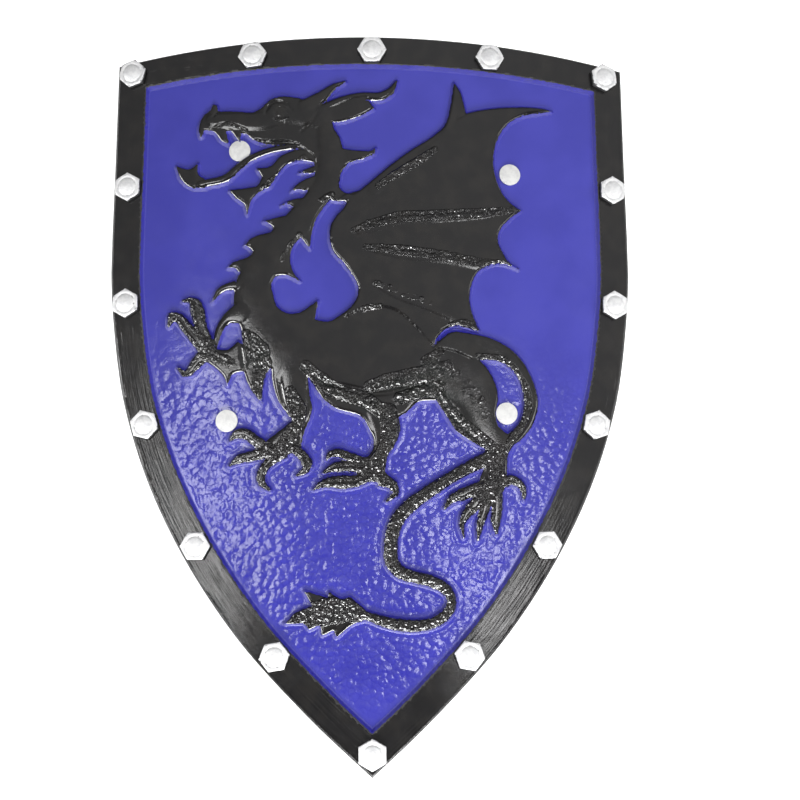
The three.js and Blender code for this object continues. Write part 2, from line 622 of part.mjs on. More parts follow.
const studSpots = studPlaces();
const rivetSpots = Object.entries(STRAPS).flatMap(([side, strapPins]) => (
  ['upper', 'lower'].map((end) => ({ name: `rivet_${side}_${end}`, spot: pinPlace(strapPins[end]) }))));
const studBore = bore(STUD_PIN_WIDE + 2 * GAP, -STUD_PIN_DEEP - GAP, STUD_TALL);
const bores = [
  ...studSpots.map((spot) => stand(studBore, spot, TOP_LEVEL)),
  ...rivetSpots.map(({ spot }) => stand(pinHole(), spot, FIELD_THICK)),
];
add('shield_board', board().add(dragon()).subtract(joined(bores)), COAT);
studSpots.forEach((spot, i) => {
  const turn = THREE.MathUtils.degToRad(STUD_TURNS[i] + 30);
  const number = String(i + 1).padStart(2, '0');
  add(`rim_stud_${number}`, stand(stud(), spot, TOP_LEVEL + GAP, turn), SILVER);
});
for (const { name, spot } of rivetSpots) {
  add(name, stand(rivet(), spot, FIELD_THICK), STEEL);
}
add('strap_left', strap(STRAPS.left), WEBBING);
add('strap_right', strap(STRAPS.right), WEBBING);

export default shield;
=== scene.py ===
# %% [markdown]
# A heater shield with a dragon
#
# The real thing is a shield for costume and play fighting. It is moulded in dense foam, with a
# painted skin: a glossy blue field that looks hammered, a raised black rim with silver studs,
# and a black dragon in low relief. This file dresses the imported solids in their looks. Each
# step is a cell, and the words before it say what the piece is and why it is made this way.

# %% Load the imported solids
import math

import bpy
import bmesh
import numpy as np
from mathutils import Matrix, Vector
from mathutils.geometry import delaunay_2d_cdt
from mathutils.kdtree import KDTree


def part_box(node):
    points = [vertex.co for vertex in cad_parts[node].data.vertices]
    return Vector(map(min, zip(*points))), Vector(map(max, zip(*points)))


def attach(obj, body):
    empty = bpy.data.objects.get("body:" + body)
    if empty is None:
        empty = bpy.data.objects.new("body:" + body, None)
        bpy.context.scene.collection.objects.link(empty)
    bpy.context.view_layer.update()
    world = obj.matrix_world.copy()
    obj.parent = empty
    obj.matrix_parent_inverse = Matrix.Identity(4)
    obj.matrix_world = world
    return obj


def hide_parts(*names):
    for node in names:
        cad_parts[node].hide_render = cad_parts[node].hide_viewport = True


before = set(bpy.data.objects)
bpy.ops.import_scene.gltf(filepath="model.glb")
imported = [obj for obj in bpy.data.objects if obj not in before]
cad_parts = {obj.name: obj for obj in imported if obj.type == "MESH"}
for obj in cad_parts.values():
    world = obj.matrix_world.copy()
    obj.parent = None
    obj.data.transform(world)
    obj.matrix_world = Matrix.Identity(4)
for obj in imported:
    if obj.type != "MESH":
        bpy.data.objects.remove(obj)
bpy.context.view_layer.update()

# %% [markdown]
# Sizes
#
# The board's sizes come from the solids where they can be measured, and the rest are the
# maker's sizes again, in millimetres. Meshes are made in metres at the very end.

# %% Sizes of the board
MM = 0.001
board_low, board_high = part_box("shield_board")
TALL = (board_high[1] - board_low[1]) / MM
HALF_WIDE = (board_high[0] - board_low[0]) / 2 / MM
BOW = 24.0
FIELD_THICK = 15.0
RIM_PROUD = 3.5
RIM_WIDE = 27.0
RIM_ROUND = 2.0
BACK_ROUND = 3.0
TIP_Y = -TALL / 2
TOP_LEVEL = FIELD_THICK + RIM_PROUD
REST_HALF = HALF_WIDE - BACK_ROUND
RADIUS = (REST_HALF**2 + BOW**2) / (2 * BOW)
print(f"the board is {TALL:.1f} mm tall and {2 * HALF_WIDE:.1f} mm wide")


def bow_at(x):
    """How high the bowed back stands over the ground at x."""
    return np.sqrt(RADIUS**2 - np.asarray(x) ** 2) - (RADIUS - BOW)


def lean_at(x):
    """How far the surface leans outwards at x, as an angle."""
    return math.asin(x / RADIUS)


# %% [markdown]
# Smooth lines through a few points
#
# A sculptor draws a form with a few points and lets the line run smoothly between them. A
# point where the line turns hard is a corner and stays sharp. The same helper serves the
# board's edge and every form of the dragon.

# %% Curve helpers
CORNER_TURN = math.radians(52)


def smooth_line(points, spacing, closed=False):
    """Points along a smooth line through the given ones, no more than spacing apart."""
    points = np.asarray(points, float)
    count = len(points)
    steps = np.roll(points, -1, axis=0) - points
    lengths = np.linalg.norm(steps[:, :2], axis=1)
    spans = count if closed else count - 1
    line = []
    for i in range(spans):
        j = (i + 1) % count
        tangents = [tangent_at(points, lengths, k, i, closed) for k in (i, j)]
        pieces = max(1, math.ceil(lengths[i] / spacing))
        t = np.arange(pieces)[:, None] / pieces
        line.append(
            (2 * t**3 - 3 * t**2 + 1) * points[i]
            + (t**3 - 2 * t**2 + t) * tangents[0]
            + (3 * t**2 - 2 * t**3) * points[j]
            + (t**3 - t**2) * tangents[1]
        )
    if not closed:
        line.append(points[-1:])
    return np.concatenate(line)


def tangent_at(points, lengths, k, span, closed):
    """The line's direction at point k, as the span that starts at span sees it."""
    count = len(points)
    own = points[(span + 1) % count] - points[span]
    if not closed and k in (0, count - 1):
        return own
    before = points[k] - points[k - 1]
    after = points[(k + 1) % count] - points[k]
    a = math.atan2(before[1], before[0])
    b = math.atan2(after[1], after[0])
    turn = abs((b - a + math.pi) % (2 * math.pi) - math.pi)
    if turn > CORNER_TURN:
        return own
    both = before / max(lengths[k - 1], 1e-6) + after / max(lengths[k], 1e-6)
    reach = min(lengths[k - 1], lengths[k])
    size = max(np.linalg.norm(both[:2]), 1e-6)
    return both / size * reach


# %% [markdown]
# The edge of the board
#
# A heater shield has a gently bowed top and two long sides that meet in a tip. The two sides
# are the same curve mirrored, so one list of shares gives both.

# %% The board's outline
SIDE = [
    (0.970, 0.995), (0.835, 0.997), (0.672, 1.0), (0.604, 0.986), (0.493, 0.937),
    (0.382, 0.835), (0.274, 0.681), (0.170, 0.477), (0.071, 0.216), (0.0, 0.0),
]
EDGE_STEP = 4.0


def even_steps(line, spacing):
    """The same line with its points evenly spaced."""
    run = np.concatenate([[0], np.cumsum(np.linalg.norm(np.diff(line, axis=0), axis=1))])
    count = max(2, round(run[-1] / spacing))
    at = np.linspace(0, run[-1], count + 1)
    return np.stack([np.interp(at, run, line[:, k]) for k in range(line.shape[1])], 1)


def board_outline(spacing):
    """The edge, clockwise from the upper left corner."""
    side = [(wide * HALF_WIDE, TIP_Y + high * TALL) for high, wide in SIDE]
    right = even_steps(smooth_line(side, 0.5), spacing)
    right[:, 0] = np.minimum(right[:, 0], HALF_WIDE)
    corner_x, corner_y = right[0]
    x = np.linspace(-corner_x, corner_x, 400)
    top = np.stack([x, corner_y + (-TIP_Y - corner_y) * (1 - (x / corner_x) ** 2)], 1)
    top = even_steps(top, spacing)
    left = right[::-1] * [-1, 1]
    return np.concatenate([top[:-1], right[:-1], left[:-1]])


outline = board_outline(EDGE_STEP)
print(len(outline), "points round the edge")


def inset(loop, distance):
    """The loop moved inwards, each of its edges by the same distance."""
    ahead = np.roll(loop, -1, axis=0) - loop
    ahead /= np.linalg.norm(ahead, axis=1)[:, None]
    behind = np.roll(ahead, 1, axis=0)
    inward = np.stack([ahead[:, 1], -ahead[:, 0]], 1)
    inward_behind = np.roll(inward, 1, axis=0)
    middle = inward + inward_behind
    middle /= (np.einsum("ij,ij->i", middle, inward))[:, None]
    return loop + middle * distance


# %% [markdown]
# The dragon's drawing
#
# The dragon is drawn on a sheet of 800 by 800 steps, as the eye sees the shield: x to the
# right and y down. Each position is a line of sight, followed down to the bowed top of the
# relief. The same eye takes the picture at the end. Broad parts are closed outlines. Limbs,
# claws and the tail are strokes that taper, each point with its half width.

# %% The eye and the sheet
EYE = np.array([-0.01874, -0.26705, 1.66738]) * TALL
LOOKED_AT = np.array([0.0378, -0.01066, 0.04918]) * TALL
HEAD_TILT = math.radians(0.25)
SHEET_MIDDLE = 400
STEPS_AWAY = 1216.5
RELIEF_LEVEL = FIELD_THICK + 3.4
SIGHT_TRIES = 8
sight = Vector(LOOKED_AT - EYE).normalized()
level_right = sight.cross(Vector((0, 1, 0))).normalized()
eye_right = Matrix.Rotation(HEAD_TILT, 3, sight) @ level_right
eye_up = eye_right.cross(sight)


def place(points):
    """Sheet positions as places on the board, in millimetres; a half width is scaled."""
    points = np.asarray(points, float)
    rays = (
        np.array(sight) * STEPS_AWAY
        + np.outer(points[:, 0] - SHEET_MIDDLE, eye_right)
        + np.outer(SHEET_MIDDLE - points[:, 1], eye_up)
    )
    level = np.full(len(points), BOW + RELIEF_LEVEL)
    for _ in range(SIGHT_TRIES):
        step = (level - EYE[2]) / rays[:, 2]
        spot = EYE + step[:, None] * rays
        level = bow_at(spot[:, 0]) + RELIEF_LEVEL
    columns = [spot[:, 0], spot[:, 1]]
    if points.shape[1] > 2:
        columns.append(points[:, 2] * step)
    return np.stack(columns, 1)


# %% Broad parts of the dragon, as closed outlines
PLATES = {
    "head": [
        (200, 137), (198.5, 130), (200, 122), (204, 115), (210, 110), (213, 104), (217, 105),
        (218, 111), (235, 111), (252, 112), (260, 108.5), (266, 103), (272, 98.5), (282, 96),
        (300, 98), (312, 102), (322, 107), (330, 112), (334, 128), (340, 138), (343, 150),
        (318, 168), (310, 158), (299, 144), (285, 144.5), (268, 144), (255, 140), (245, 133),
        (241, 134), (240, 142), (236, 137), (231, 130.5), (226, 131), (229, 144), (221, 140),
        (214, 131.5), (204, 130), (202, 136),
    ],
    "lower jaw": [
        (322, 148), (299, 149), (288, 152), (279, 157), (270, 166), (257, 168), (262, 177),
        (257, 186), (245, 188), (229, 190), (236, 198), (244, 204), (247, 214), (252, 199),
        (262, 190), (270, 186), (277, 175), (287, 164), (300, 160), (316, 162),
    ],
    "ear": [
        (326, 112), (333, 108), (345, 103), (357, 99.5), (369, 100), (374, 108), (362, 114.5),
        (347, 120), (334, 122), (325, 118),
    ],
    "neck": [
        (343, 148), (355, 150), (370, 150.5), (376, 147), (374, 153), (364, 158), (350, 162),
        (343, 169), (339.5, 180), (340, 188), (347, 193), (360, 190), (372, 210), (335, 217),
        (325, 236), (330, 252), (346, 266), (356, 281), (358, 290), (348, 308), (334, 319),
        (318, 321), (300, 345), (242, 370), (243, 341), (240, 327), (234, 308), (235, 285),
        (240, 272), (250, 256), (258, 243), (273, 229), (293, 207), (306, 193), (314, 176),
        (315, 154), (326, 140),
    ],
    "trunk": [
        (242, 335), (300, 315), (330, 318), (352, 300), (372, 280), (420, 320), (433, 347),
        (440, 340), (452, 332), (468, 333), (490, 338), (508, 347), (521, 359), (532, 378),
        (538, 398), (538, 408), (532, 426), (520, 441), (513, 446), (508, 456), (507, 474),
        (503, 492), (490, 500), (480, 482), (484, 468), (486, 449), (473, 442), (457, 431),
        (448, 418), (436, 400), (418, 402), (407, 412), (399, 417), (400, 432), (394, 446),
        (387, 458), (385, 472), (398, 483), (392, 489), (370, 481), (357, 485), (356, 461),
        (370, 454), (374, 441), (370, 430), (361, 416), (336, 408), (322, 397), (308, 376),
        (309, 392), (312, 410), (304, 433), (300, 450), (283, 456), (268, 455), (266, 441),
        (284, 427), (292, 420), (278, 400), (273, 384), (271, 368), (266, 374), (262, 392),
        (262, 402), (252, 391), (244, 372),
    ],
    "arm": [
        (205, 338), (213, 344), (218, 349), (228, 349), (238, 341), (250, 350), (246, 371),
        (233, 374), (227, 385), (222, 374), (209, 363), (200, 357), (197, 345),
    ],
    "wing": [
        (347, 193), (353, 194), (361, 189), (375, 177.5), (390, 165), (412, 149), (430, 138),
        (444, 126), (448.5, 115), (451.5, 99), (454, 82), (460, 91), (463.5, 102), (466, 113),
        (480, 110), (500, 107.5), (528, 107), (543, 108.5), (552, 111), (540, 113), (522, 116),
        (508, 124), (499, 136), (494.5, 150), (493.5, 163), (496, 178), (503, 194), (512, 204),
        (521, 210), (510, 218.5), (500.5, 229), (498, 240), (502, 251), (510, 263), (519, 269),
        (502, 263.5), (488, 265.5), (478, 272), (472, 283), (469.5, 297), (472, 312), (480, 331.5),
        (468, 328), (456, 325.5), (446, 329), (439, 335), (433, 346), (420, 332), (407, 318.5),
        (395, 310), (383, 307), (372, 306), (360, 310), (345, 318), (338, 290), (322, 250),
        (322, 225), (335, 202),
    ],
    "tongue end": [
        (206, 180), (198, 174), (198, 163), (189, 169), (176, 166), (181, 179), (191, 187), (206, 188),
    ],
    "tail tuft": [
        (366, 611), (350, 597), (341, 599), (329, 592), (328, 598), (304, 591), (312, 606),
        (297, 612), (284, 624), (304, 624), (309, 630), (320, 625), (322, 636), (334, 630),
        (336, 638), (352, 625), (366, 620),
    ],
}

# %% Holes through which the blue field shows, and the scales on the throat
HOLES = [
    [
        (330, 199.5), (338, 201), (347, 201), (344, 207), (336, 216), (330.5, 226), (330, 240),
        (334, 252), (343, 262), (352, 274), (358, 286), (357, 297), (350, 307), (340, 315),
        (329, 321), (315, 319.5), (318, 300), (311, 305), (300, 312), (288, 313), (277, 306),
        (273, 294), (271.5, 284), (276, 275.5), (287, 275), (300, 281), (292, 269), (290.5, 256),
        (294, 244), (301, 237), (310, 248.5), (311.5, 234), (316, 219), (323, 208),
    ],
    [
        (480, 360), (488, 369), (496, 385), (498, 398), (496, 413), (498, 425), (508, 434),
        (518, 425), (523, 413), (524, 398), (519, 379), (508, 366), (494, 360),
    ],
]
THROAT_SPIKES = [
    [(318, 165), (309, 167.5), (299, 172), (308, 173), (318, 172)],
    [(318, 174), (304, 179.5), (296, 185), (291, 191), (298, 189), (305, 190), (312, 188)],
    [(304, 197), (290, 200), (281, 205), (288, 203.5), (293, 206.5), (300, 205)],
    [(290, 214), (275, 217.5), (263, 221), (269, 223), (274, 228), (282, 222)],
    [(274, 231), (258, 235), (250, 239), (244.5, 245), (249, 247), (252, 251), (262, 247)],
    [(256, 251), (246, 257.5), (234, 261.5), (228, 267), (235, 268), (239, 272), (247, 266)],
]

# %% Limbs, claws and the tail
STROKES = {
    "upper horn": [(304, 108, 9), (322, 96, 6), (334, 86, 3), (346, 81, 0.7)],
    "lower horn": [
        (318, 112, 6), (340, 101, 4.5), (360, 96, 4), (380, 96, 4.5), (391, 90, 3.5), (397, 80, 0.7),
    ],
    "tongue": [
        (300, 145, 2.5), (270, 150, 3), (250, 158, 3), (238, 167, 3.5), (225, 178, 4), (200, 184, 3.5),
    ],
    "tail": [
        (500, 453, 8), (470, 467, 6.5), (450, 478, 6), (430, 491, 6.5), (412, 504, 7), (400, 516, 7),
        (394, 528, 7), (391, 542, 7), (392, 562, 7), (400, 572, 6.5), (414, 577, 6), (430, 581, 6),
        (443, 587, 5.5), (451, 597, 5), (450, 609, 5), (442, 618, 5.5), (430, 624, 5.5),
        (415, 626, 6), (400, 625, 6), (385, 622, 5.5), (370, 617, 4.5), (356, 613, 4.5),
    ],
    "raised fingers": [
        [(208, 350, 9), (196, 338, 6.5), (187, 328, 5.5), (180, 319, 5), (172, 316, 5), (168, 327, 0.7)],
        [(208, 348, 8), (201, 328, 6), (198, 314, 7), (195, 304, 6), (190, 300, 3), (182, 301, 0.7)],
        [(208, 351, 8), (197, 362, 6), (190, 371, 4.5), (184, 374, 3), (177, 367, 0.7)],
    ],
    "front toes": [
        [(272, 452, 6), (256, 441, 5.5), (246, 434, 5.5), (237, 434, 4.5), (229, 441, 0.7)],
        [(274, 450, 6), (252, 456, 5.5), (239, 459, 4.5), (229, 466, 0.7)],
        [(284, 452, 6), (268, 463, 5), (261, 474, 4.5), (262, 483, 4), (271, 491, 0.7)],
        [(294, 448, 5), (303, 456, 5), (307, 464, 5.5), (305, 470, 3.5), (296, 476, 0.7)],
    ],
    "middle toes": [
        [(364, 462, 5), (348, 456, 4.5), (338, 453, 4.5), (331, 454, 3.5), (326, 460, 0.7)],
        [(364, 467, 6), (348, 466, 5.5), (336, 467, 5), (328, 470, 3), (322, 474, 0.7)],
        [(368, 476, 6), (356, 481, 6), (342, 482, 7), (332, 482, 5.5), (322, 484, 4), (313, 490, 0.7)],
        [(380, 480, 6), (392, 485, 5), (396, 493, 3.5), (386, 502, 0.7)],
    ],
    "hind toes": [
        [(488, 487, 8), (474, 490, 6.5), (461, 495, 6), (452, 499, 4.5), (444, 509, 0.7)],
        [(486, 494, 7), (472, 508, 6), (465, 516, 4.5), (462, 526, 2.5), (464, 538, 0.7)],
        [(488, 497, 6), (484, 512, 5), (480, 526, 3.5), (478, 541, 0.7)],
        [(497, 494, 6), (497, 510, 5.5), (496, 522, 4.5), (497, 535, 0.7)],
        [(500, 482, 7), (512, 480, 5), (520, 484, 4), (524, 491, 3), (524, 501, 0.7)],
    ],
    "hooked spikes": [
        [(236, 285, 5), (226, 287, 3.5), (219, 291, 3), (212, 302, 0.7)],
        [(240, 313, 12), (228, 318, 6), (220, 328, 4), (217, 338, 3), (216, 348, 0.7)],
    ],
}

# %% Rounded crests on the broad parts, and the fingers of the wing
CRESTS = [
    [(320, 118, 8), (290, 112, 9), (262, 121, 7), (236, 121, 6), (212, 120, 5)],
    [
        (328, 128, 8), (331, 160, 9), (325, 188, 9), (306, 212, 10), (284, 238, 13), (266, 264, 16),
        (254, 292, 13), (262, 322, 16), (285, 348, 20), (330, 366, 22), (390, 370, 24),
        (450, 366, 24), (476, 392, 17), (486, 420, 12), (498, 448, 9), (495, 476, 7),
    ],
    [(292, 372, 9), (295, 400, 9), (292, 428, 8), (278, 444, 6)],
    [(380, 405, 11), (386, 434, 9), (374, 462, 7)],
    [(374, 190, 4.5), (392, 176, 4), (420, 158, 3.5), (447, 132, 3), (455, 98, 1.2)],
    [(358, 231, 3), (375, 226, 4.5), (400, 219, 4.5), (440, 217, 4.5), (480, 215, 3.5), (518, 210, 1.5)],
    [(374, 249, 3), (400, 253, 4.5), (425, 256, 4.5), (450, 259, 4), (482, 266, 3), (512, 266, 1.5)],
    [(376, 283, 3), (400, 295, 4), (425, 304, 4), (450, 316, 3), (474, 329, 1.2)],
    [(440, 144, 3), (462, 121, 2.6), (500, 112, 2), (540, 110, 1.2)],
    [(512, 360, 6), (527, 384, 6), (530, 404, 6), (518, 430, 6), (500, 452, 5)],
]

# %% [markdown]
# One silhouette from all the forms
#
# The dragon is one relief, so its forms have to melt into one edge. Every outline is sampled,
# and a sample counts only where black really meets blue: where it isn't covered by another
# form. What is left is the true edge, and the distance to it steers everything else: where the
# wall rises, where the black paint ends, and where the mesh needs small faces.

# %% Outlines in millimetres
FORM_STEP = 0.45


def stroke_line(stroke):
    """A stroke's middle line, with its half width as the third column."""
    return smooth_line(place(stroke), 2 * FORM_STEP)


def stroke_outline(stroke):
    """The closed outline of a tapering stroke."""
    line = stroke_line(stroke)
    ahead = np.gradient(line[:, :2], axis=0)
    ahead /= np.linalg.norm(ahead, axis=1)[:, None]
    across = np.stack([-ahead[:, 1], ahead[:, 0]], 1) * line[:, 2:3]
    return np.concatenate([line[:, :2] - across, (line[:, :2] + across)[::-1]])


def listed_strokes():
    """All strokes one by one, whether they are named alone or as a group."""
    for item in STROKES.values():
        yield from ([item] if isinstance(item[0], tuple) else item)


def closed_outline(points):
    return smooth_line(place(points), FORM_STEP, closed=True)


plate_outlines = {name: closed_outline(points) for name, points in PLATES.items()}
forms = list(plate_outlines.values())
forms += [stroke_outline(stroke) for stroke in listed_strokes()]
forms += [closed_outline(spike) for spike in THROAT_SPIKES]
holes = [closed_outline(points) for points in HOLES]
print(len(forms), "forms and", len(holes), "holes make the silhouette")


# %% Inside or outside
def inside(points, loop):
    """Which points lie inside one closed outline."""
    found = np.zeros(len(points), bool)
    low, high = loop.min(axis=0), loop.max(axis=0)
    near = np.flatnonzero(np.all((points >= low) & (points <= high), axis=1))
    ends = np.roll(loop, -1, axis=0)
    rise = ends[:, 1] - loop[:, 1]
    rise = np.where(rise == 0, 1e-12, rise)
    for start in range(0, len(near), 4000):
        chosen = near[start:start + 4000]
        x = points[chosen, 0][:, None]
        y = points[chosen, 1][:, None]
        crosses = (loop[:, 1] > y) != (ends[:, 1] > y)
        at = loop[:, 0] + (y - loop[:, 1]) / rise * (ends[:, 0] - loop[:, 0])
        found[chosen] = np.count_nonzero(crosses & (x < at), axis=1) % 2 == 1
    return found


def in_dragon(points, skip=None):
    """Which points are on the dragon, leaving one of its outlines out if asked."""
    found = np.zeros(len(points), bool)
    for form in forms:
        if form is not skip:
            found |= inside(points, form)
    for hole in holes:
        if hole is not skip:
            found &= ~inside(points, hole)
    return found


# %% The true edge, as samples with a direction into the black
NUDGE = 0.04


def edge_samples(loop):
    """Middles of an outline's short edges, and the unit vector to their left."""
    ends = np.roll(loop, -1, axis=0)
    along = ends - loop
    length = np.linalg.norm(along, axis=1)
    keep = length > 1e-6
    along = along[keep] / length[keep][:, None]
    return (loop[keep] + ends[keep]) / 2, np.stack([-along[:, 1], along[:, 0]], 1)


edge_points = []
edge_inward = []
for loop in forms + holes:
    middles, side = edge_samples(loop)
    left = in_dragon(middles + NUDGE * side)
    right = in_dragon(middles - NUDGE * side)
    true_edge = left != right
    edge_points.append(middles[true_edge])
    edge_inward.append(np.where(left[:, None], side, -side)[true_edge])
edge_points = np.concatenate(edge_points)
edge_inward = np.concatenate(edge_inward)
print(len(edge_points), "samples on the dragon's edge")


# %% Distances to lines
def tree_of(points):
    tree = KDTree(len(points))
    for i, (x, y) in enumerate(points):
        tree.insert((x, y, 0.0), i)
    tree.balance()
    return tree


def nearest(tree, points):
    """For each point, the index of the nearest sample."""
    return np.array([tree.find((x, y, 0.0))[1] for x, y in points])


edge_tree = tree_of(edge_points)


def dragon_depth(points):
    """How far each point is inside the dragon (negative outside), and the way further in."""
    index = nearest(edge_tree, points)
    offset = points - edge_points[index]
    inward = edge_inward[index]
    straight = np.einsum("ij,ij->i", offset, inward)
    aside = offset - straight[:, None] * inward
    slack = np.maximum(np.linalg.norm(aside, axis=1) - FORM_STEP / 2, 0)
    distance = np.hypot(straight, slack)
    sign = np.where(in_dragon(points), 1.0, -1.0)
    away = offset / np.maximum(np.linalg.norm(offset, axis=1), 1e-9)[:, None]
    way = np.where((distance > FORM_STEP)[:, None], away * sign[:, None], inward)
    return sign * distance, way


OUTLINE_STEP = 0.6
outline_dense = board_outline(OUTLINE_STEP)
outline_tree = tree_of(outline_dense)


def rim_depth(points, with_run=False):
    """How far each point is in from the board's edge, the way further in, and the run."""
    index = nearest(outline_tree, points)
    offset = points - outline_dense[index]
    distance = np.linalg.norm(offset, axis=1)
    found = distance, offset / np.maximum(distance, 1e-9)[:, None]
    return (*found, index * OUTLINE_STEP) if with_run else found


# %% Distance along strokes
def along_stroke(points, line):
    """Distance from a stroke's middle line as a share of its half width there."""
    share = np.full(len(points), 9.0)
    half = np.ones(len(points))
    reach = line[:, 2].max()
    low, high = line[:, :2].min(axis=0) - reach, line[:, :2].max(axis=0) + reach
    near = np.flatnonzero(np.all((points >= low) & (points <= high), axis=1))
    spot = points[near]
    for a, b in zip(line[:-1], line[1:]):
        along = b[:2] - a[:2]
        t = np.clip((spot - a[:2]) @ along / max(along @ along, 1e-9), 0, 1)
        away = np.linalg.norm(spot - a[:2] - t[:, None] * along, axis=1)
        wide = a[2] + t * (b[2] - a[2])
        value = away / np.maximum(wide, 0.3)
        closer = value < share[near]
        share[near] = np.where(closer, value, share[near])
        half[near] = np.where(closer, wide, half[near])
    return share, half


# %% Grooves that part one form from the next: x, y and half width, with a depth
GROOVES = [
    (1.9, [(256, 140, 1.0), (270, 142, 2.0), (286, 142, 2.0), (299, 144, 0.8)]),
    (1.2, [(265, 114, 0.8), (268, 106, 1.5), (276, 101, 1.7), (286, 104, 1.5), (292, 110, 0.8)]),
    (1.2, [(274, 112, 0.7), (277, 116.5, 1.1), (282, 117.5, 1.1), (287, 114, 0.7)]),
    (0.9, [(275, 110, 0.6), (279, 108, 0.9), (284, 108.5, 0.9), (288, 111, 0.6)]),
    (1.0, [(267, 109, 0.6), (270, 104.5, 1.1), (275, 102, 0.8)]),
    (0.8, [(275, 121, 0.5), (281, 122.5, 0.9), (287, 121, 0.5)]),
    (1.2, [(213, 117, 0.8), (217, 112, 1.6), (222, 109, 0.8)]),
    (0.9, [(299, 146, 1.4), (311, 154, 1.8), (318, 166, 1.2)]),
    (0.8, [(300, 132, 1.2), (311, 122, 2.2), (318, 112, 1.2)]),
    (1.7, [
        (312, 374, 2), (324, 382, 3.5), (346, 388, 4.5), (370, 393, 5), (394, 391, 5),
        (414, 386, 4.5), (430, 384, 3.5), (441, 390, 2),
    ]),
    (1.1, [(326, 396, 1.5), (346, 401, 2.5), (366, 408, 2.5), (380, 416, 1.5)]),
    (1.4, [(240, 342, 1.2), (242, 356, 2.0), (244, 370, 1.2)]),
    (1.2, [(438, 392, 2), (446, 408, 4), (460, 424, 5), (478, 440, 3)]),
    (1.0, [(433, 348, 1.5), (452, 352, 3), (472, 360, 2)]),
    (0.9, [(292, 421, 1), (284, 402, 2.5), (280, 384, 1.5)]),
    (1.7, [
        (364, 226, 0.8), (376, 221, 1.6), (400, 215, 2.2), (435, 214, 2.2), (470, 212, 1.4), (500, 210, 0.8),
    ]),
    (1.7, [(378, 246, 0.8), (400, 249, 2.0), (425, 251.5, 2.2), (445, 255, 2.0), (468, 260, 1.0)]),
    (0.8, [(382, 284, 0.8), (400, 291, 1.5), (425, 300, 1.0)]),
    (0.9, [(214, 128, 0.6), (222, 124, 1.6), (234, 125, 1.6), (247, 130, 0.8)]),
    (0.9, [(325, 110, 0.8), (335, 106, 1.6), (352, 99, 1.6), (368, 97, 0.8)]),
    (1.0, [(449, 119, 0.8), (456, 119, 1.2), (466, 114, 0.8)]),
]

# %% [markdown]
# Where the mesh has its points
#
# The face of the board is sculpted as a height over a plan. A plain grid would need millions
# of faces to draw the thin claws, so the grid is fine only near the dragon and the rim. The
# points that fall next to a line that matters, such as the top or the foot of a wall, are
# moved onto it, so that walls are clean with few faces.

# %% Points of the face
FINE = 1.24
WALL = 1.5
FLAT_FROM = 5.0
HAMMER_GRID = 1.65
HAMMER_TOP = 60.0
RIM_SLOPE = 1.8
RIM_LINES = (RIM_WIDE, RIM_WIDE - RIM_SLOPE)


def staggered_grid(spacing):
    """Points of a triangular grid over the board, and which of them a coarse grid keeps."""
    row_step = spacing * math.sqrt(3) / 2
    rows = np.arange(math.ceil(TALL / row_step))
    columns = np.arange(math.ceil(2 * HALF_WIDE / spacing))
    row, column = np.meshgrid(rows, columns, indexing="ij")
    x = -HALF_WIDE + (column + (row % 2) / 2) * spacing
    y = TIP_Y + row * row_step
    coarse = (row % 2 == 0) & ((column + row // 2) % 2 == 0)
    return np.stack([x.ravel(), y.ravel()], 1), coarse.ravel()


def spread(points, least):
    """Which points to keep so that no two are closer than the least distance."""
    tree = tree_of(points)
    keep = np.ones(len(points), bool)
    for i, (x, y) in enumerate(points):
        if keep[i]:
            for _, other, _ in tree.find_range((x, y, 0.0), least):
                if other > i:
                    keep[other] = False
    return keep


def narrow_work(points):
    """Which points are on or beside a narrow ridge or groove."""
    found = np.zeros(len(points), bool)
    lines = [stroke for stroke in CRESTS if max(p[2] for p in stroke) < 6]
    for stroke in lines + [stroke for _, stroke in GROOVES]:
        share, _ = along_stroke(points, stroke_line(stroke))
        found |= share < 1.5
    return found


def surveyed(spacing):
    """A grid inside the edge, with its distances to the dragon and to the board's edge."""
    points, coarse = staggered_grid(spacing)
    keep = inside(points, inset(outline, RIM_ROUND + 0.6 * spacing))
    points, coarse = points[keep], coarse[keep]
    return points, coarse, *rim_depth(points), *dragon_depth(points)


def close_work(points, depth, rim_in):
    """Where the fine grid is needed."""
    flat_middle = (depth > FLAT_FROM) & ~narrow_work(points)
    return ((depth > -WALL - 3) & ~flat_middle) | (np.abs(rim_in - RIM_WIDE) < 3)


def line_points():
    """Points on the tops and feet of the dragon's walls and of the rim's inner wall."""
    top = edge_points[spread(edge_points, 0.8 * FINE)]
    foot = edge_points - WALL * edge_inward
    foot = foot[np.abs(dragon_depth(foot)[0] + WALL) < 0.12]
    foot = foot[spread(foot, 0.8 * FINE)]
    rims = [even_steps(closed(inset(outline, d)), 1.1 * FINE)[:-1] for d in RIM_LINES]
    return np.concatenate([top, foot, *rims])


def closed(loop):
    return np.concatenate([loop, loop[:1]])


lines = line_points()
lines = lines[rim_depth(lines)[0] > RIM_ROUND + FINE]
grid, is_coarse, grid_in, _, grid_depth, _ = surveyed(FINE)
grid = grid[is_coarse | close_work(grid, grid_depth, grid_in)]
hammer, _, hammer_in, _, hammer_depth, _ = surveyed(HAMMER_GRID)
on_field = (hammer[:, 1] < HAMMER_TOP) & (hammer_in > RIM_WIDE + 2) & (hammer_depth < -WALL - 2)
hammer = hammer[on_field | (hammer_depth > FLAT_FROM)]
plan = np.concatenate([lines, grid, hammer])
plan = plan[spread(plan, 0.56 * FINE)]
rim_in, _ = rim_depth(plan)
depth, _ = dragon_depth(plan)
print(len(plan), "points over the face")

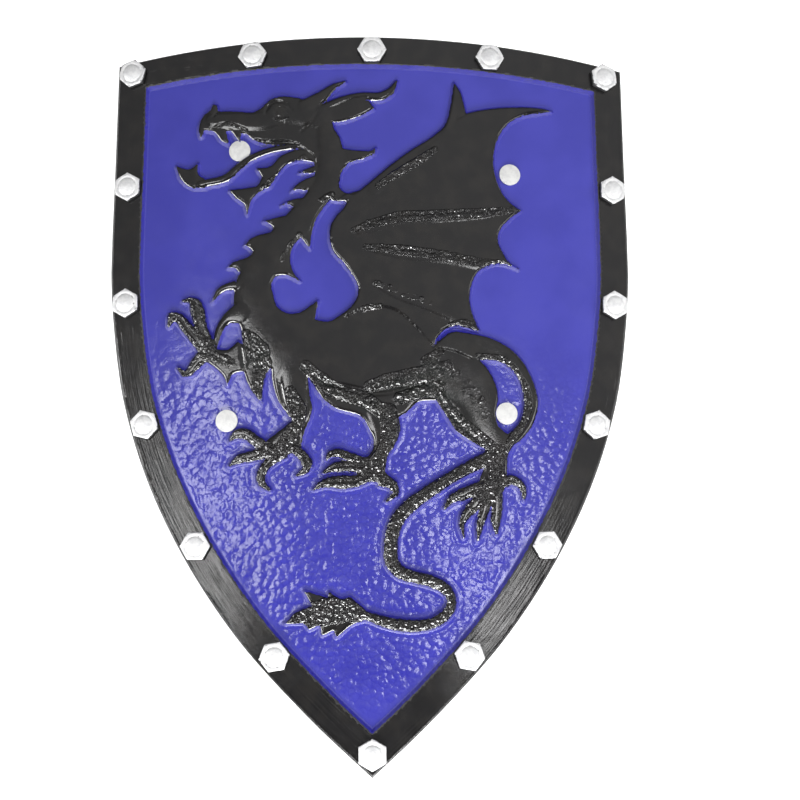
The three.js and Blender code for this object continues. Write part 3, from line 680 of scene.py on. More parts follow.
# %% [markdown]
# Heights
#
# The height of each point adds up from simple parts: the rim, the wall of the dragon, the
# round swell of each form, the grooves cut between forms, and the hammered skin of the
# field. Its marks are small round cobbles that meet in creases, as hammered metal shows them.

# %% Smooth steps and noise
def smoothstep(low, high, value):
    t = np.clip((value - low) / (high - low), 0, 1)
    return t * t * (3 - 2 * t)


def hash_unit(ix, iy, salt):
    """A repeatable number from 0 to 1 for each whole-number place."""
    mixed = np.sin(ix * 127.1 + iy * 311.7 + salt * 74.7) * 43758.5453
    return mixed - np.floor(mixed)


def soft_noise(points, cell, salt):
    """Smooth noise from 0 to 1 that changes over about one cell."""
    scaled = points / cell
    base = np.floor(scaled)
    t = scaled - base
    t = t * t * (3 - 2 * t)
    ix, iy = base[:, 0], base[:, 1]
    low = hash_unit(ix, iy, salt) * (1 - t[:, 0]) + hash_unit(ix + 1, iy, salt) * t[:, 0]
    high = hash_unit(ix, iy + 1, salt) * (1 - t[:, 0]) + hash_unit(ix + 1, iy + 1, salt) * t[:, 0]
    return low * (1 - t[:, 1]) + high * t[:, 1]


# %% Hammered cobbles
COBBLE_CELL = 5.4
COBBLE_HIGH = 0.20


def cobbles(points):
    """Height of the hammered skin: round tops at scattered middles, with creases between."""
    base = np.floor(points / COBBLE_CELL)
    first = np.full(len(points), 1e9)
    second = np.full(len(points), 1e9)
    for dx in (-1, 0, 1):
        for dy in (-1, 0, 1):
            ix, iy = base[:, 0] + dx, base[:, 1] + dy
            middle_x = (ix + 0.15 + 0.7 * hash_unit(ix, iy, 1)) * COBBLE_CELL
            middle_y = (iy + 0.15 + 0.7 * hash_unit(ix, iy, 2)) * COBBLE_CELL
            far = np.hypot(points[:, 0] - middle_x, points[:, 1] - middle_y)
            second = np.minimum(second, np.maximum(far, first))
            first = np.minimum(first, far)
    fall = np.clip(first / (0.62 * COBBLE_CELL), 0, 1.3) ** 2
    crease = np.exp(-(((second - first) / 0.9) ** 2))
    strength = 0.6 + 0.5 * soft_noise(points, 34, 5)
    return COBBLE_HIGH * strength * (0.5 - fall - 0.3 * crease)


# %% Swells of the forms
STROKE_RISE = 0.34
CREST_RISE = 1.6
CREST_SPREAD = 1.45
EDGE_HIGH = 2.7
FULL_HIGH = 3.3
STANDS_OVER = {"wing": 1.1, "arm": 0.6, "ear": 0.4, "lower jaw": 0.3}


def swell(points):
    """The round fullness of limbs and of the broad parts' crests."""
    total = np.zeros(len(points))
    for stroke in listed_strokes():
        share, half = along_stroke(points, stroke_line(stroke))
        total = np.maximum(total, STROKE_RISE * half * np.clip(1 - share**2, 0, 1))
    for crest in CRESTS:
        line = stroke_line(crest)
        line[:, 2] *= CREST_SPREAD
        share, half = along_stroke(points, line)
        rise = np.minimum(CREST_RISE, 0.45 * half)
        total = np.maximum(total, rise * np.clip(1 - share**2, 0, 1))
    return total


# %% Depth of the grooves
def grooves(points):
    total = np.zeros(len(points))
    for deep, stroke in GROOVES:
        share, _ = along_stroke(points, stroke_line(stroke))
        total = np.maximum(total, deep * np.clip(1 - share**2, 0, 1) ** 1.5)
    return total


# %% Where the black is pebbly
PEBBLY = [
    (1.0, [(354, 230, 4), (375, 223, 6), (400, 217, 7), (440, 215, 7), (480, 213, 6), (515, 210, 4)]),
    (1.0, [(366, 247, 4), (400, 250, 7), (425, 253, 7), (450, 257, 7), (482, 263, 6), (510, 264, 4)]),
    (0.35, [(376, 283, 5), (400, 292, 6), (430, 303, 5)]),
    (0.7, [(378, 186, 4), (395, 175, 6), (415, 163, 6), (435, 150, 5)]),
    (0.9, [(246, 334, 7), (258, 350, 14), (262, 368, 12), (258, 388, 8), (260, 400, 5)]),
    (1.0, [(290, 392, 8), (297, 410, 12), (294, 428, 11), (284, 446, 10)]),
    (1.0, [(306, 366, 8), (318, 378, 10), (340, 392, 10), (366, 400, 10), (380, 410, 10)]),
    (0.9, [(370, 386, 8), (396, 379, 10), (424, 374, 12), (448, 366, 8)]),
    (0.9, [(400, 398, 9), (420, 392, 9), (440, 386, 8)]),
    (1.0, [(388, 412, 12), (390, 434, 11), (384, 452, 11), (372, 470, 12)]),
    (0.9, [(428, 362, 10), (440, 352, 6)]),
    (1.0, [(440, 396, 6), (456, 418, 9), (474, 434, 9), (494, 452, 9), (497, 476, 10), (492, 492, 8)]),
    (0.35, [(455, 375, 10), (475, 396, 12), (485, 415, 8)]),
    (0.8, [(478, 356, 4), (504, 360, 5), (521, 380, 6), (528, 402, 7), (521, 424, 7), (510, 442, 6)]),
    (0.9, [(218, 127, 1.5), (226, 124, 2.5), (236, 126, 2.5), (244, 131, 1.5)]),
    (0.9, [(274, 119, 1.2), (281, 120, 2.4), (288, 119, 1.2)]),
    (0.6, [(322, 200, 5), (332, 195, 5)]),
    (0.5, [(300, 234, 4), (288, 248, 4), (282, 260, 4)]),
    (0.6, [(262, 188, 3), (280, 172, 3), (304, 156, 3)]),
    (1.0, [(366, 616, 8), (346, 610, 15), (324, 612, 18), (300, 618, 10)]),
    (0.5, [(196, 346, 8), (212, 356, 9), (230, 362, 8)]),
    (0.8, [(452, 326, 5), (466, 323, 5), (478, 330, 3)]),
    (0.5, [(364, 308, 5), (380, 306, 4)]),
]
ON_TAIL = 1.0
ON_TOES = {"front toes": 1.0, "middle toes": 1.0, "hind toes": 1.0, "raised fingers": 0.6}


def pebbly(points, depth):
    """How pebbly the black skin is, from 0 on smooth tops to 1."""
    total = np.zeros(len(points))
    share, _ = along_stroke(points, stroke_line(STROKES["tail"]))
    total = np.maximum(total, ON_TAIL * smoothstep(1.25, 0.95, share))
    for name, much in ON_TOES.items():
        for stroke in STROKES[name]:
            share, _ = along_stroke(points, stroke_line(stroke))
            flank = smoothstep(0.0, 0.6, share) * smoothstep(1.3, 1.0, share)
            total = np.maximum(total, much * (0.15 + 0.85 * flank) * (share < 1.3))
    for much, stroke in PEBBLY:
        share, _ = along_stroke(points, stroke_line(stroke))
        total = np.maximum(total, much * smoothstep(1.0, 0.45, share))
    return total * (depth > -0.5)


# %% All heights together
PEBBLE = 0.16
MOST_HIGH = 4.85
HALO_DEEP = 0.3
HAMMER_BEGINS = 70
HAMMER_FULL = -60
HAMMER_LEAST = 0.06
TIP_FADES = (-268, -225)
TIP_LEAST = 0.35
UNEVEN = 0.16


def eased_below(value, start, most):
    """The value as it is up to start, then rounded off so that it never passes the most."""
    room = most - start
    over = np.maximum(value - start, 0)
    return np.minimum(value, start) + room * (1 - np.exp(-over / room))


def hammered(points, depth, rim_in):
    """How strongly the field is hammered: hardly at the top, fully in the lower half."""
    clear = smoothstep(1.5, 6.0, -depth) * smoothstep(RIM_WIDE + 1.0, RIM_WIDE + 6.0, rim_in)
    lower = smoothstep(HAMMER_BEGINS, HAMMER_FULL, points[:, 1])
    off_tip = smoothstep(*TIP_FADES, points[:, 1])
    return clear * (HAMMER_LEAST + (1 - HAMMER_LEAST) * lower) * (TIP_LEAST + (1 - TIP_LEAST) * off_tip)


def face_height(points, depth, rim_in):
    """Height of the painted face above the field's level."""
    wall = EDGE_HIGH * smoothstep(-WALL, 0.1, depth)
    shoulder = (FULL_HIGH - EDGE_HIGH) * np.clip(depth / 2.0, 0, 1) ** 0.7
    black = smoothstep(0.0, 0.8, depth)
    over = np.zeros(len(points))
    for name, high in STANDS_OVER.items():
        loop = plate_outlines[name]
        part_tree = tree_of(loop)
        far = np.linalg.norm(points - loop[nearest(part_tree, points)], axis=1)
        over = np.maximum(over, high * smoothstep(0, 1.3, far) * inside(points, loop))
    pebbles = 2 * hash_unit(np.round(points[:, 0] * 9), np.round(points[:, 1] * 9), 3) - 1
    pebbles = PEBBLE * pebbles * (0.2 + pebbly(points, depth))
    forms_high = black * (swell(points) + over - grooves(points) + pebbles)
    dragon = eased_below(wall + shoulder + forms_high, EDGE_HIGH + 0.9, MOST_HIGH)
    halo = HALO_DEEP * smoothstep(6.6, 5.6, -depth) * smoothstep(-20, -60, points[:, 1])
    field = cobbles(points) * hammered(points, depth, rim_in) - halo * (depth < 0)
    on_rim = smoothstep(RIM_WIDE, RIM_WIDE - RIM_SLOPE, rim_in)
    rim = RIM_PROUD * on_rim
    uneven = UNEVEN * (soft_noise(points, 17, 7) - 0.5) * on_rim
    return dragon + field + rim + uneven


height = face_height(plan, depth, rim_in)
print(f"the relief stands up to {height[depth > 0].max():.1f} mm above the field")

# %% [markdown]
# The board as one closed skin
#
# The plan is turned into triangles inside the rim's loop, lifted to its heights, and laid on
# the bowed surface. Loops of points then run over the rounded edge, down the wall and round
# the back, and the back is filled in the same way with large faces.

# %% Skin of the board
LOOPS = (
    (RIM_ROUND, TOP_LEVEL), (0.6, TOP_LEVEL - 0.6), (0.0, TOP_LEVEL - RIM_ROUND),
    (0.0, BACK_ROUND), (0.9, 0.9), (BACK_ROUND, 0.0),
)
BACK_GRID = 9.0


def filled(loop, inner):
    """Triangles that fill a loop through the inner points, which may not be on it."""
    count = len(loop)
    points = [Vector(p) for p in np.concatenate([loop, inner])]
    ring = [(i, (i + 1) % count) for i in range(count)]
    made, _, faces, origins, _, _ = delaunay_2d_cdt(points, ring, [], 1, 1e-6)
    source = [origin[0] if origin else -1 for origin in origins]
    if -1 in source:
        raise RuntimeError("the filling made points of its own")
    return [[source[i] for i in face] for face in faces]


def facing_up(face, points):
    (ax, ay), (bx, by), (cx, cy) = (points[i] for i in face)
    return (bx - ax) * (cy - ay) - (by - ay) * (cx - ax) > 0


top_loop = inset(outline, LOOPS[0][0])
face_plan = np.concatenate([top_loop, plan])
face_level = np.concatenate([np.full(len(top_loop), TOP_LEVEL), FIELD_THICK + height])
face_faces = filled(top_loop, plan)
skin_points = [(x, y, bow_at(x) + z) for (x, y), z in zip(face_plan, face_level)]
skin_faces = [f if facing_up(f, face_plan) else f[::-1] for f in face_faces]
ink_mm = list(np.concatenate([
    np.full(len(top_loop), RIM_WIDE), np.maximum(depth, RIM_WIDE - RIM_SLOPE - rim_in)
]))

count = len(outline)
upper = list(range(count))
for distance, level in LOOPS[1:]:
    lower = [len(skin_points) + i for i in range(count)]
    for x, y in inset(outline, distance):
        skin_points.append((x, y, bow_at(x) + level))
        ink_mm.append(RIM_WIDE)
    for i in range(count):
        j = (i + 1) % count
        skin_faces.append([upper[i], upper[j], lower[j], lower[i]])
    upper = lower

back_loop = inset(outline, BACK_ROUND)
back_plan, _ = staggered_grid(BACK_GRID)
back_plan = back_plan[inside(back_plan, inset(outline, BACK_ROUND + 0.4 * BACK_GRID))]
offset = len(skin_points) - count
back_all = np.concatenate([back_loop, back_plan])
skin_points += [(x, y, bow_at(x)) for x, y in back_plan]
ink_mm += [RIM_WIDE] * len(back_plan)
for face in filled(back_loop, back_plan):
    face = face[::-1] if facing_up(face, back_all) else face
    skin_faces.append([offset + i for i in face])
print(len(skin_points), "points and", len(skin_faces), "faces on the board")


# %% Where the walls are
def wall_share(depth, rim_in):
    """One on the walls of the dragon and of the rim, and nought on the level."""
    dragon_wall = smoothstep(-WALL - 0.9, -WALL + 0.3, depth)
    return np.maximum(dragon_wall, smoothstep(RIM_WIDE + 0.9, RIM_WIDE - 0.3, rim_in))


def rim_wall(rim_in):
    """One on the rim's inner wall."""
    return smoothstep(2.2, 0.8, np.abs(rim_in - RIM_WIDE + RIM_SLOPE / 2))


# %% The board's object
def new_piece(name, points_mm, faces):
    """A smooth-shaded object at the origin, from points in millimetres."""
    mesh = bpy.data.meshes.new(name)
    mesh.from_pydata([(x * MM, y * MM, z * MM) for x, y, z in points_mm], [], faces)
    mesh.update()
    mesh.shade_smooth()
    piece = bpy.data.objects.new(name, mesh)
    bpy.context.scene.collection.objects.link(piece)
    return piece


board = new_piece("board_skin", skin_points, skin_faces)


def keep_value(piece, name, values):
    """Keeps a number for each of the first points, and zero for the rest."""
    layer = piece.data.attributes.new(name, "FLOAT", "POINT")
    whole = np.zeros(len(piece.data.vertices), np.float32)
    whole[:len(values)] = values
    layer.data.foreach_set("value", whole)


keep_value(board, "ink_mm", ink_mm)
_, _, edge_run = rim_depth(face_plan, with_run=True)
keep_value(board, "edge_run_mm", edge_run)
for name, on_edge, values in [
    ("edge_in_mm", RIM_ROUND, rim_in),
    ("wall", 0.0, wall_share(depth, rim_in)),
    ("pebbly", 0.0, pebbly(plan, depth)),
    ("hammered", 0.0, hammered(plan, depth, rim_in)),
    ("rim_wall", 0.0, rim_wall(rim_in)),
]:
    keep_value(board, name, np.concatenate([np.full(len(top_loop), on_edge), values]))
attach(board, "root")
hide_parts("shield_board")

# %% [markdown]
# Paint of the board
#
# The skin is sprayed blue and then brushed with black along the forms. Both paints are
# glossy. The black is laid on with a brush, so its edge wanders a little, and its surface is
# pebbled in places, like foam that was sealed by hand. The blue is darkened with painted shade
# in the creases of the hammered skin and on the walls, and the brush left streaks along the rim.

# %% Helpers for finishes
CELL_SMOOTH = 0.2


def finish_for(name):
    """An empty node material with its shader and its object coordinates."""
    material = bpy.data.materials.new(name)
    material.use_nodes = True
    nodes = material.node_tree.nodes
    shader = nodes["Principled BSDF"]
    place_node = nodes.new("ShaderNodeTexCoord")
    return material, material.node_tree, shader, place_node.outputs["Object"]


def set_sockets(shader, **values):
    for name, value in values.items():
        shader.inputs[name.replace("_", " ")].default_value = value


def plug(tree, shader, **outputs):
    """Links each output to the shader's socket of that name."""
    for name, output in outputs.items():
        tree.links.new(output, shader.inputs[name.replace("_", " ")])


def noise(tree, where, scale, detail=2.0, roughness=0.5):
    """Cloudy noise; the scale counts its blotches in a metre."""
    node = tree.nodes.new("ShaderNodeTexNoise")
    tree.links.new(where, node.inputs["Vector"])
    node.inputs["Scale"].default_value = scale
    node.inputs["Detail"].default_value = detail
    node.inputs["Roughness"].default_value = roughness
    return node.outputs["Fac"]


def band(tree, value, low, high, out_low=0.0, out_high=1.0):
    """The value carried from one range to another, and held at its ends."""
    node = tree.nodes.new("ShaderNodeMapRange")
    node.interpolation_type = "SMOOTHSTEP"
    tree.links.new(value, node.inputs["Value"])
    for name, number in zip(("From Min", "From Max", "To Min", "To Max"), (low, high, out_low, out_high)):
        node.inputs[name].default_value = number
    return node.outputs["Result"]


def maths(tree, what, first, second):
    node = tree.nodes.new("ShaderNodeMath")
    node.operation = what
    for socket, value in zip(node.inputs, (first, second)):
        if isinstance(value, (int, float)):
            socket.default_value = value
        else:
            tree.links.new(value, socket)
    return node.outputs["Value"]


def mixed_colour(tree, share, first, second):
    """A colour between two others; each is a colour or an output."""
    node = tree.nodes.new("ShaderNodeMix")
    node.data_type = "RGBA"
    tree.links.new(share, node.inputs["Factor"])
    for socket, value in zip((node.inputs[6], node.inputs[7]), (first, second)):
        if isinstance(value, tuple):
            socket.default_value = (*value, 1.0)
        else:
            tree.links.new(value, socket)
    return node.outputs[2]


def attribute(tree, name):
    node = tree.nodes.new("ShaderNodeAttribute")
    node.attribute_name = name
    return node.outputs["Fac"]


def cells(tree, where, scale, feature):
    """Scattered cells: distance to their middles (SMOOTH_F1) or to their edges."""
    node = tree.nodes.new("ShaderNodeTexVoronoi")
    node.feature = feature
    tree.links.new(where, node.inputs["Vector"])
    node.inputs["Scale"].default_value = scale
    if feature == "SMOOTH_F1":
        node.inputs["Smoothness"].default_value = CELL_SMOOTH
    return node.outputs["Distance"]


def bump(tree, height, distance, strength=1.0, under=None):
    node = tree.nodes.new("ShaderNodeBump")
    tree.links.new(height, node.inputs["Height"])
    node.inputs["Distance"].default_value = distance
    node.inputs["Strength"].default_value = strength
    if under is not None:
        tree.links.new(under, node.inputs["Normal"])
    return node.outputs["Normal"]


# %% Colours and marks of the board's paint
BLUE = (0.036, 0.036, 0.297)
BLUE_SHADE = (0.030, 0.030, 0.265)
# Dark blue painted as shade, in the hammered creases and on the walls of the dragon and the rim.
BLUE_PAINTED_SHADE = (0.008, 0.006, 0.22)
BLACK = (0.0052, 0.0048, 0.0052)
BLACK_WORN = (0.0095, 0.0085, 0.008)
# How much painted shade darkens the blue in the hammered creases.
CREASE_SHADE_MOST = 0.3
PAINT_WANDER = 0.45
COBBLES_IN_METRE = 172
COBBLES_WANDER = 0.004
COBBLES_DEEP = 0.0006
PEBBLES_IN_METRE = 310
PEBBLES_DEEP = 0.0027
SKIN_IN_METRE = 900
SKIN_SHARE = 0.02
STREAK_ALONG = 0.010
STREAK_ACROSS = 0.45
STREAKS_DEEP = 0.0006
ROUGH_LEAST, ROUGH_MOST = 0.10, 0.19
ROUGHER_ON_BLUE = 0.03
ROUGHER_ON_WALLS = 0.75
DRAGON_WALL_SHARE = 0.75
SMOOTHER_ON_PEBBLES = 0.04


def black_share_of(tree, where):
    """One where the paint is black; its brushed edge wanders a little."""
    wander = band(tree, noise(tree, where, 320, 3), 0.2, 0.8, -PAINT_WANDER, PAINT_WANDER)
    return band(tree, maths(tree, "ADD", attribute(tree, "ink_mm"), wander), -0.15, 0.15)


def pebbly_share_of(tree, where):
    """Where the black is pebbly, with a ragged border."""
    ragged = maths(tree, "MULTIPLY", noise(tree, where, 150, 2), 0.9)
    return band(tree, maths(tree, "ADD", attribute(tree, "pebbly"), ragged), 0.76, 1.06)


def pushed_about(tree, where):
    """The same places moved a little, so that no two cobbles are alike."""
    wobble = tree.nodes.new("ShaderNodeVectorMath")
    wobble.operation = "ADD"
    tree.links.new(where, wobble.inputs[0])
    tree.links.new(maths(tree, "MULTIPLY", noise(tree, where, 210, 1), COBBLES_WANDER), wobble.inputs[1])
    return wobble.outputs["Vector"]


def brush_streaks(tree):
    """Streaks on the rim that run along the edge."""
    along = tree.nodes.new("ShaderNodeCombineXYZ")
    tree.links.new(maths(tree, "MULTIPLY", attribute(tree, "edge_run_mm"), STREAK_ALONG), along.inputs["X"])
    tree.links.new(maths(tree, "MULTIPLY", attribute(tree, "edge_in_mm"), STREAK_ACROSS), along.inputs["Y"])
    on_rim = band(tree, attribute(tree, "edge_in_mm"), RIM_WIDE - 1, RIM_WIDE, 1, 0)
    return maths(tree, "MULTIPLY", noise(tree, along.outputs["Vector"], 1.6, 3), on_rim)


# %% The board's paint
def paint_colour(tree, where, black_share, cobble_places):
    """Cloudy blue with painted shade in the creases and on the walls, and black over it."""
    cloud = band(tree, noise(tree, where, 22, 3), 0.35, 0.65)
    blue = mixed_colour(tree, cloud, BLUE, BLUE_SHADE)
    # Painted shade: the blue is darkened in the creases between the hammered cobbles.
    crease = cells(tree, cobble_places, COBBLES_IN_METRE, "DISTANCE_TO_EDGE")
    crease_shade = band(tree, crease, 0.0, 0.2, CREASE_SHADE_MOST, 0)
    painted_crease_shade = maths(tree, "MULTIPLY", crease_shade, attribute(tree, "hammered"))
    blue = mixed_colour(tree, painted_crease_shade, blue, BLUE_PAINTED_SHADE)
    # Painted shade on the walls of the dragon and the rim.
    blue = mixed_colour(tree, attribute(tree, "wall"), blue, BLUE_PAINTED_SHADE)
    black = mixed_colour(tree, band(tree, noise(tree, where, 70, 4), 0.4, 0.7), BLACK, BLACK_WORN)
    return mixed_colour(tree, black_share, blue, black)


def paint_roughness(tree, where, black_share, pebbly_share):
    """Glossy, a little less so on the blue, and dull on the blue walls."""
    blue_share = maths(tree, "SUBTRACT", 1.0, black_share)
    blue_wall = maths(tree, "MULTIPLY", attribute(tree, "wall"), blue_share)
    dragon_wall = maths(tree, "MULTIPLY", blue_wall, DRAGON_WALL_SHARE)
    dull = maths(tree, "MAXIMUM", dragon_wall, attribute(tree, "rim_wall"))
    rough = band(tree, noise(tree, where, 55, 4, 0.7), 0.35, 0.7, ROUGH_LEAST, ROUGH_MOST)
    rough = maths(tree, "ADD", rough, maths(tree, "MULTIPLY", blue_share, ROUGHER_ON_BLUE))
    rough = maths(tree, "ADD", rough, maths(tree, "MULTIPLY", dull, ROUGHER_ON_WALLS))
    return maths(tree, "SUBTRACT", rough, band(tree, pebbly_share, 0, 1, 0.0, SMOOTHER_ON_PEBBLES))


def paint_relief(tree, where, pebbly_share, cobble_places):
    """Pebbles on the black, cobbles on the blue and streaks on the rim, as one normal."""
    pebbles = maths(tree, "MULTIPLY", noise(tree, where, PEBBLES_IN_METRE, 1, 0.5), pebbly_share)
    skin = maths(tree, "MULTIPLY", noise(tree, where, SKIN_IN_METRE, 2), SKIN_SHARE)
    pebble_bump = bump(tree, maths(tree, "ADD", pebbles, skin), PEBBLES_DEEP)
    tops = maths(tree, "MULTIPLY", cells(tree, cobble_places, COBBLES_IN_METRE, "SMOOTH_F1"), -1.0)
    beaten = maths(tree, "MULTIPLY", tops, attribute(tree, "hammered"))
    beaten_bump = bump(tree, beaten, COBBLES_DEEP, 1.0, pebble_bump)
    return bump(tree, brush_streaks(tree), STREAKS_DEEP, 0.5, beaten_bump)


def board_paint():
    material, tree, shader, where = finish_for("blue_and_black_paint")
    black_share = black_share_of(tree, where)
    pebbly_share = pebbly_share_of(tree, where)
    cobble_places = pushed_about(tree, where)
    plug(
        tree, shader,
        Base_Color=paint_colour(tree, where, black_share, cobble_places),
        Roughness=paint_roughness(tree, where, black_share, pebbly_share),
        Normal=paint_relief(tree, where, pebbly_share, cobble_places),
    )
    set_sockets(shader, Metallic=0.0, IOR=1.5)
    return material


board.data.materials.append(board_paint())
print("the board is painted")

# %% [markdown]
# Rim studs
#
# Each stud looks like a nut with a dome on it. On the real shield they are moulded in the foam
# and silvered with a brush, so the tops shine and the walls stay dark. One is modelled: a turned
# head with a ring groove round its dome, cut by a six-sided block. Then it is copied.

# %% One stud
STUD_FLATS = 21.5
STUD_TALL = 4.5
STUD_DOME_TALL = 1.6
STUD_CORNER = STUD_FLATS / math.sqrt(3)
STUD_BLANK = STUD_CORNER + 0.3
STUD_SIDES = 48
DOME_FOOT = 7.05
DOME_FOOT_HIGH = 4.75
GROOVE_FROM = 7.55
GROOVE_TO = 8.05
GROOVE_DEEP = 0.3
FLAT_FROM_MIDDLE = 8.65
STUD_SHOULDER = 10.25
CORNER_DROP = 0.95
DOME_RINGS = (5.9, 4.4, 2.8, 1.3)
STUD_RINGS = (STUD_SHOULDER, FLAT_FROM_MIDDLE, GROOVE_TO, GROOVE_FROM, DOME_FOOT, *DOME_RINGS)
STUD_EASE = 0.4
SHARP_EDGE = math.radians(35)
GAP = 0.35


def select_only(piece):
    bpy.ops.object.select_all(action="DESELECT")
    piece.select_set(True)
    bpy.context.view_layer.objects.active = piece


def select_faces(piece, wanted):
    """In edit mode, selects the faces that the test accepts."""
    mesh = bmesh.from_edit_mesh(piece.data)
    bpy.context.tool_settings.mesh_select_mode = (False, False, True)
    for face in mesh.faces:
        face.select_set(bool(wanted(face)))
    bmesh.update_edit_mesh(piece.data)


def is_top(face):
    return face.normal.z > 0.9 and face.calc_center_median().xy.length < 0.2 * MM


def apply_modifier(piece, kind, **settings):
    select_only(piece)
    modifier = piece.modifiers.new("shape", kind)
    for name, value in settings.items():
        setattr(modifier, name, value)
    bpy.ops.object.modifier_apply(modifier=modifier.name)


def stud_profile(radius):
    """Height of the turned head at a distance from its middle."""
    if radius < DOME_FOOT:
        rise = STUD_TALL + STUD_DOME_TALL - DOME_FOOT_HIGH
        return DOME_FOOT_HIGH + rise * (1 - (radius / DOME_FOOT) ** 2)
    groove = STUD_TALL - GROOVE_DEEP
    at = (DOME_FOOT, GROOVE_FROM, GROOVE_TO, FLAT_FROM_MIDDLE, STUD_SHOULDER, STUD_BLANK)
    high = (DOME_FOOT_HIGH, groove, groove, STUD_TALL, STUD_TALL, STUD_TALL - CORNER_DROP)
    return float(np.interp(radius, at, high))


bpy.ops.object.select_all(action="DESELECT")
bpy.ops.mesh.primitive_cylinder_add(
    vertices=STUD_SIDES, radius=STUD_BLANK * MM, depth=STUD_TALL * MM,
    location=(0, 0, STUD_TALL / 2 * MM), end_fill_type="NGON",
)
stud_model = bpy.context.active_object
bpy.ops.object.transform_apply(location=True)
bpy.ops.object.mode_set(mode="EDIT")
select_faces(stud_model, is_top)
reached = STUD_BLANK
for ring in STUD_RINGS:
    bpy.ops.mesh.inset(thickness=(reached - ring) * math.cos(math.pi / STUD_SIDES) * MM, depth=0)
    reached = ring
bpy.ops.mesh.poke()
bpy.ops.object.mode_set(mode="OBJECT")
for vertex in stud_model.data.vertices:
    if vertex.co.z > 0.5 * STUD_TALL * MM:
        vertex.co.z = stud_profile(vertex.co.xy.length / MM) * MM
bpy.ops.mesh.primitive_cylinder_add(vertices=6, radius=STUD_CORNER * MM, depth=4 * STUD_TALL * MM)
block = bpy.context.active_object
apply_modifier(stud_model, "BOOLEAN", operation="INTERSECT", object=block, solver="EXACT")
bpy.data.objects.remove(block, do_unlink=True)
apply_modifier(
    stud_model, "BEVEL", width=STUD_EASE * MM, segments=2, limit_method="ANGLE", angle_limit=SHARP_EDGE
)
print(f"a stud has {len(stud_model.data.polygons)} faces and is {stud_model.dimensions.z / MM:.2f} mm tall")


# %% Copies of the stud round the rim
STUD_TURNS = (18, 8, 0, 0, 37, 30, 31, 19, 2, 50, 30, 9, 0, 46, 30, 30)


def mark_height(piece):
    """Keeps each point's height over the piece's own foot, for its paint."""
    heights = piece.data.attributes.new("foot_mm", "FLOAT", "POINT")
    heights.data.foreach_set("value", [v.co.z / MM for v in piece.data.vertices])


def stood(model, name, x, y, level, turn=0.0):
    """A copy of a model with its own mesh, square to the bowed surface at a place."""
    piece = bpy.data.objects.new(name, model.data.copy())
    bpy.context.scene.collection.objects.link(piece)
    spot = Matrix.Translation(Vector((x, y, bow_at(x) + level)) * MM)
    piece.data.transform(spot @ Matrix.Rotation(lean_at(x), 4, "Y") @ Matrix.Rotation(turn, 4, "Z"))
    piece.data.update()
    return piece


def middle_of(node):
    low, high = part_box(node)
    return (low[0] + high[0]) / 2 / MM, (low[1] + high[1]) / 2 / MM


mark_height(stud_model)
select_only(stud_model)
bpy.ops.object.shade_smooth_by_angle(angle=math.radians(32))
studs = []
for number, turn in enumerate(STUD_TURNS, 1):
    node = f"rim_stud_{number:02d}"
    x, y = middle_of(node)
    stud = stood(stud_model, f"silvered_stud_{number:02d}", x, y, TOP_LEVEL + GAP, math.radians(turn + 30))
    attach(stud, "root")
    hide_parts(node)
    studs.append(stud)
bpy.data.objects.remove(stud_model, do_unlink=True)
print(len(studs), "studs stand on the rim")

# %% [markdown]
# Silver paint
#
# Silver brushed on over black foam: bright and slightly streaky on the tops, thin at the
# edges, and missing from the walls, where the brush never went.

# %% Paint of the studs
SILVER = (0.56, 0.56, 0.56)
SILVER_DULL = (0.45, 0.45, 0.46)
DARK_FOAM = (0.012, 0.012, 0.013)


def silver_paint():
    material, tree, shader, where = finish_for("brushed_silver_paint")
    ragged = band(tree, noise(tree, where, 420, 3), 0.25, 0.75, -0.9, 0.9)
    high = maths(tree, "ADD", attribute(tree, "foot_mm"), ragged)
    silver = band(tree, high, 3.1, 3.9)
    streaks = band(tree, noise(tree, where, 260, 4, 0.6), 0.35, 0.7)
    tone = mixed_colour(tree, streaks, SILVER, SILVER_DULL)
    plug(
        tree, shader,
        Base_Color=mixed_colour(tree, silver, DARK_FOAM, tone),
        Metallic=band(tree, silver, 0, 1, 0.0, 0.2),
        Normal=bump(tree, noise(tree, where, 520, 3), 0.0005, 0.5),
    )
    set_sockets(shader, Roughness=0.55)
    return material


silver = silver_paint()
for stud in studs:
    stud.data.materials.append(silver)

# %% [markdown]
# Rivets
#
# Four flat rivets go right through the field and hold the two straps on the back. The head is
# a thin disc with an eased edge. The shank and the back head can be seen only from behind.

# %% Rivets
RIVET_HEAD = 9.0
RIVET_TALL = 1.8
RIVET_EASE = 0.5
RIVET_SHANK = 2.5
RIVET_BACK = 6.5
RIVET_BACK_TALL = 1.4
STRAP_GAP = 0.8
STRAP_THICK = 2.4
BACK_HEAD = -(FIELD_THICK + STRAP_GAP + STRAP_THICK + GAP)
STRAP_PINS = {
    "left": ((-0.507, 0.836), (-0.539, 0.460)),
    "right": ((0.532, 0.805), (0.503, 0.470)),
}


def pin_place(pin):
    across, high = pin
    return np.array([across * HALF_WIDE, TIP_Y + high * TALL])


def disc(radius, low, high, sides=48):
    """An upright disc between two heights."""
    bpy.ops.object.select_all(action="DESELECT")
    bpy.ops.mesh.primitive_cylinder_add(
        vertices=sides, radius=radius * MM, depth=(high - low) * MM, location=(0, 0, (low + high) / 2 * MM)
    )
    bpy.ops.object.transform_apply(location=True)
    return bpy.context.active_object


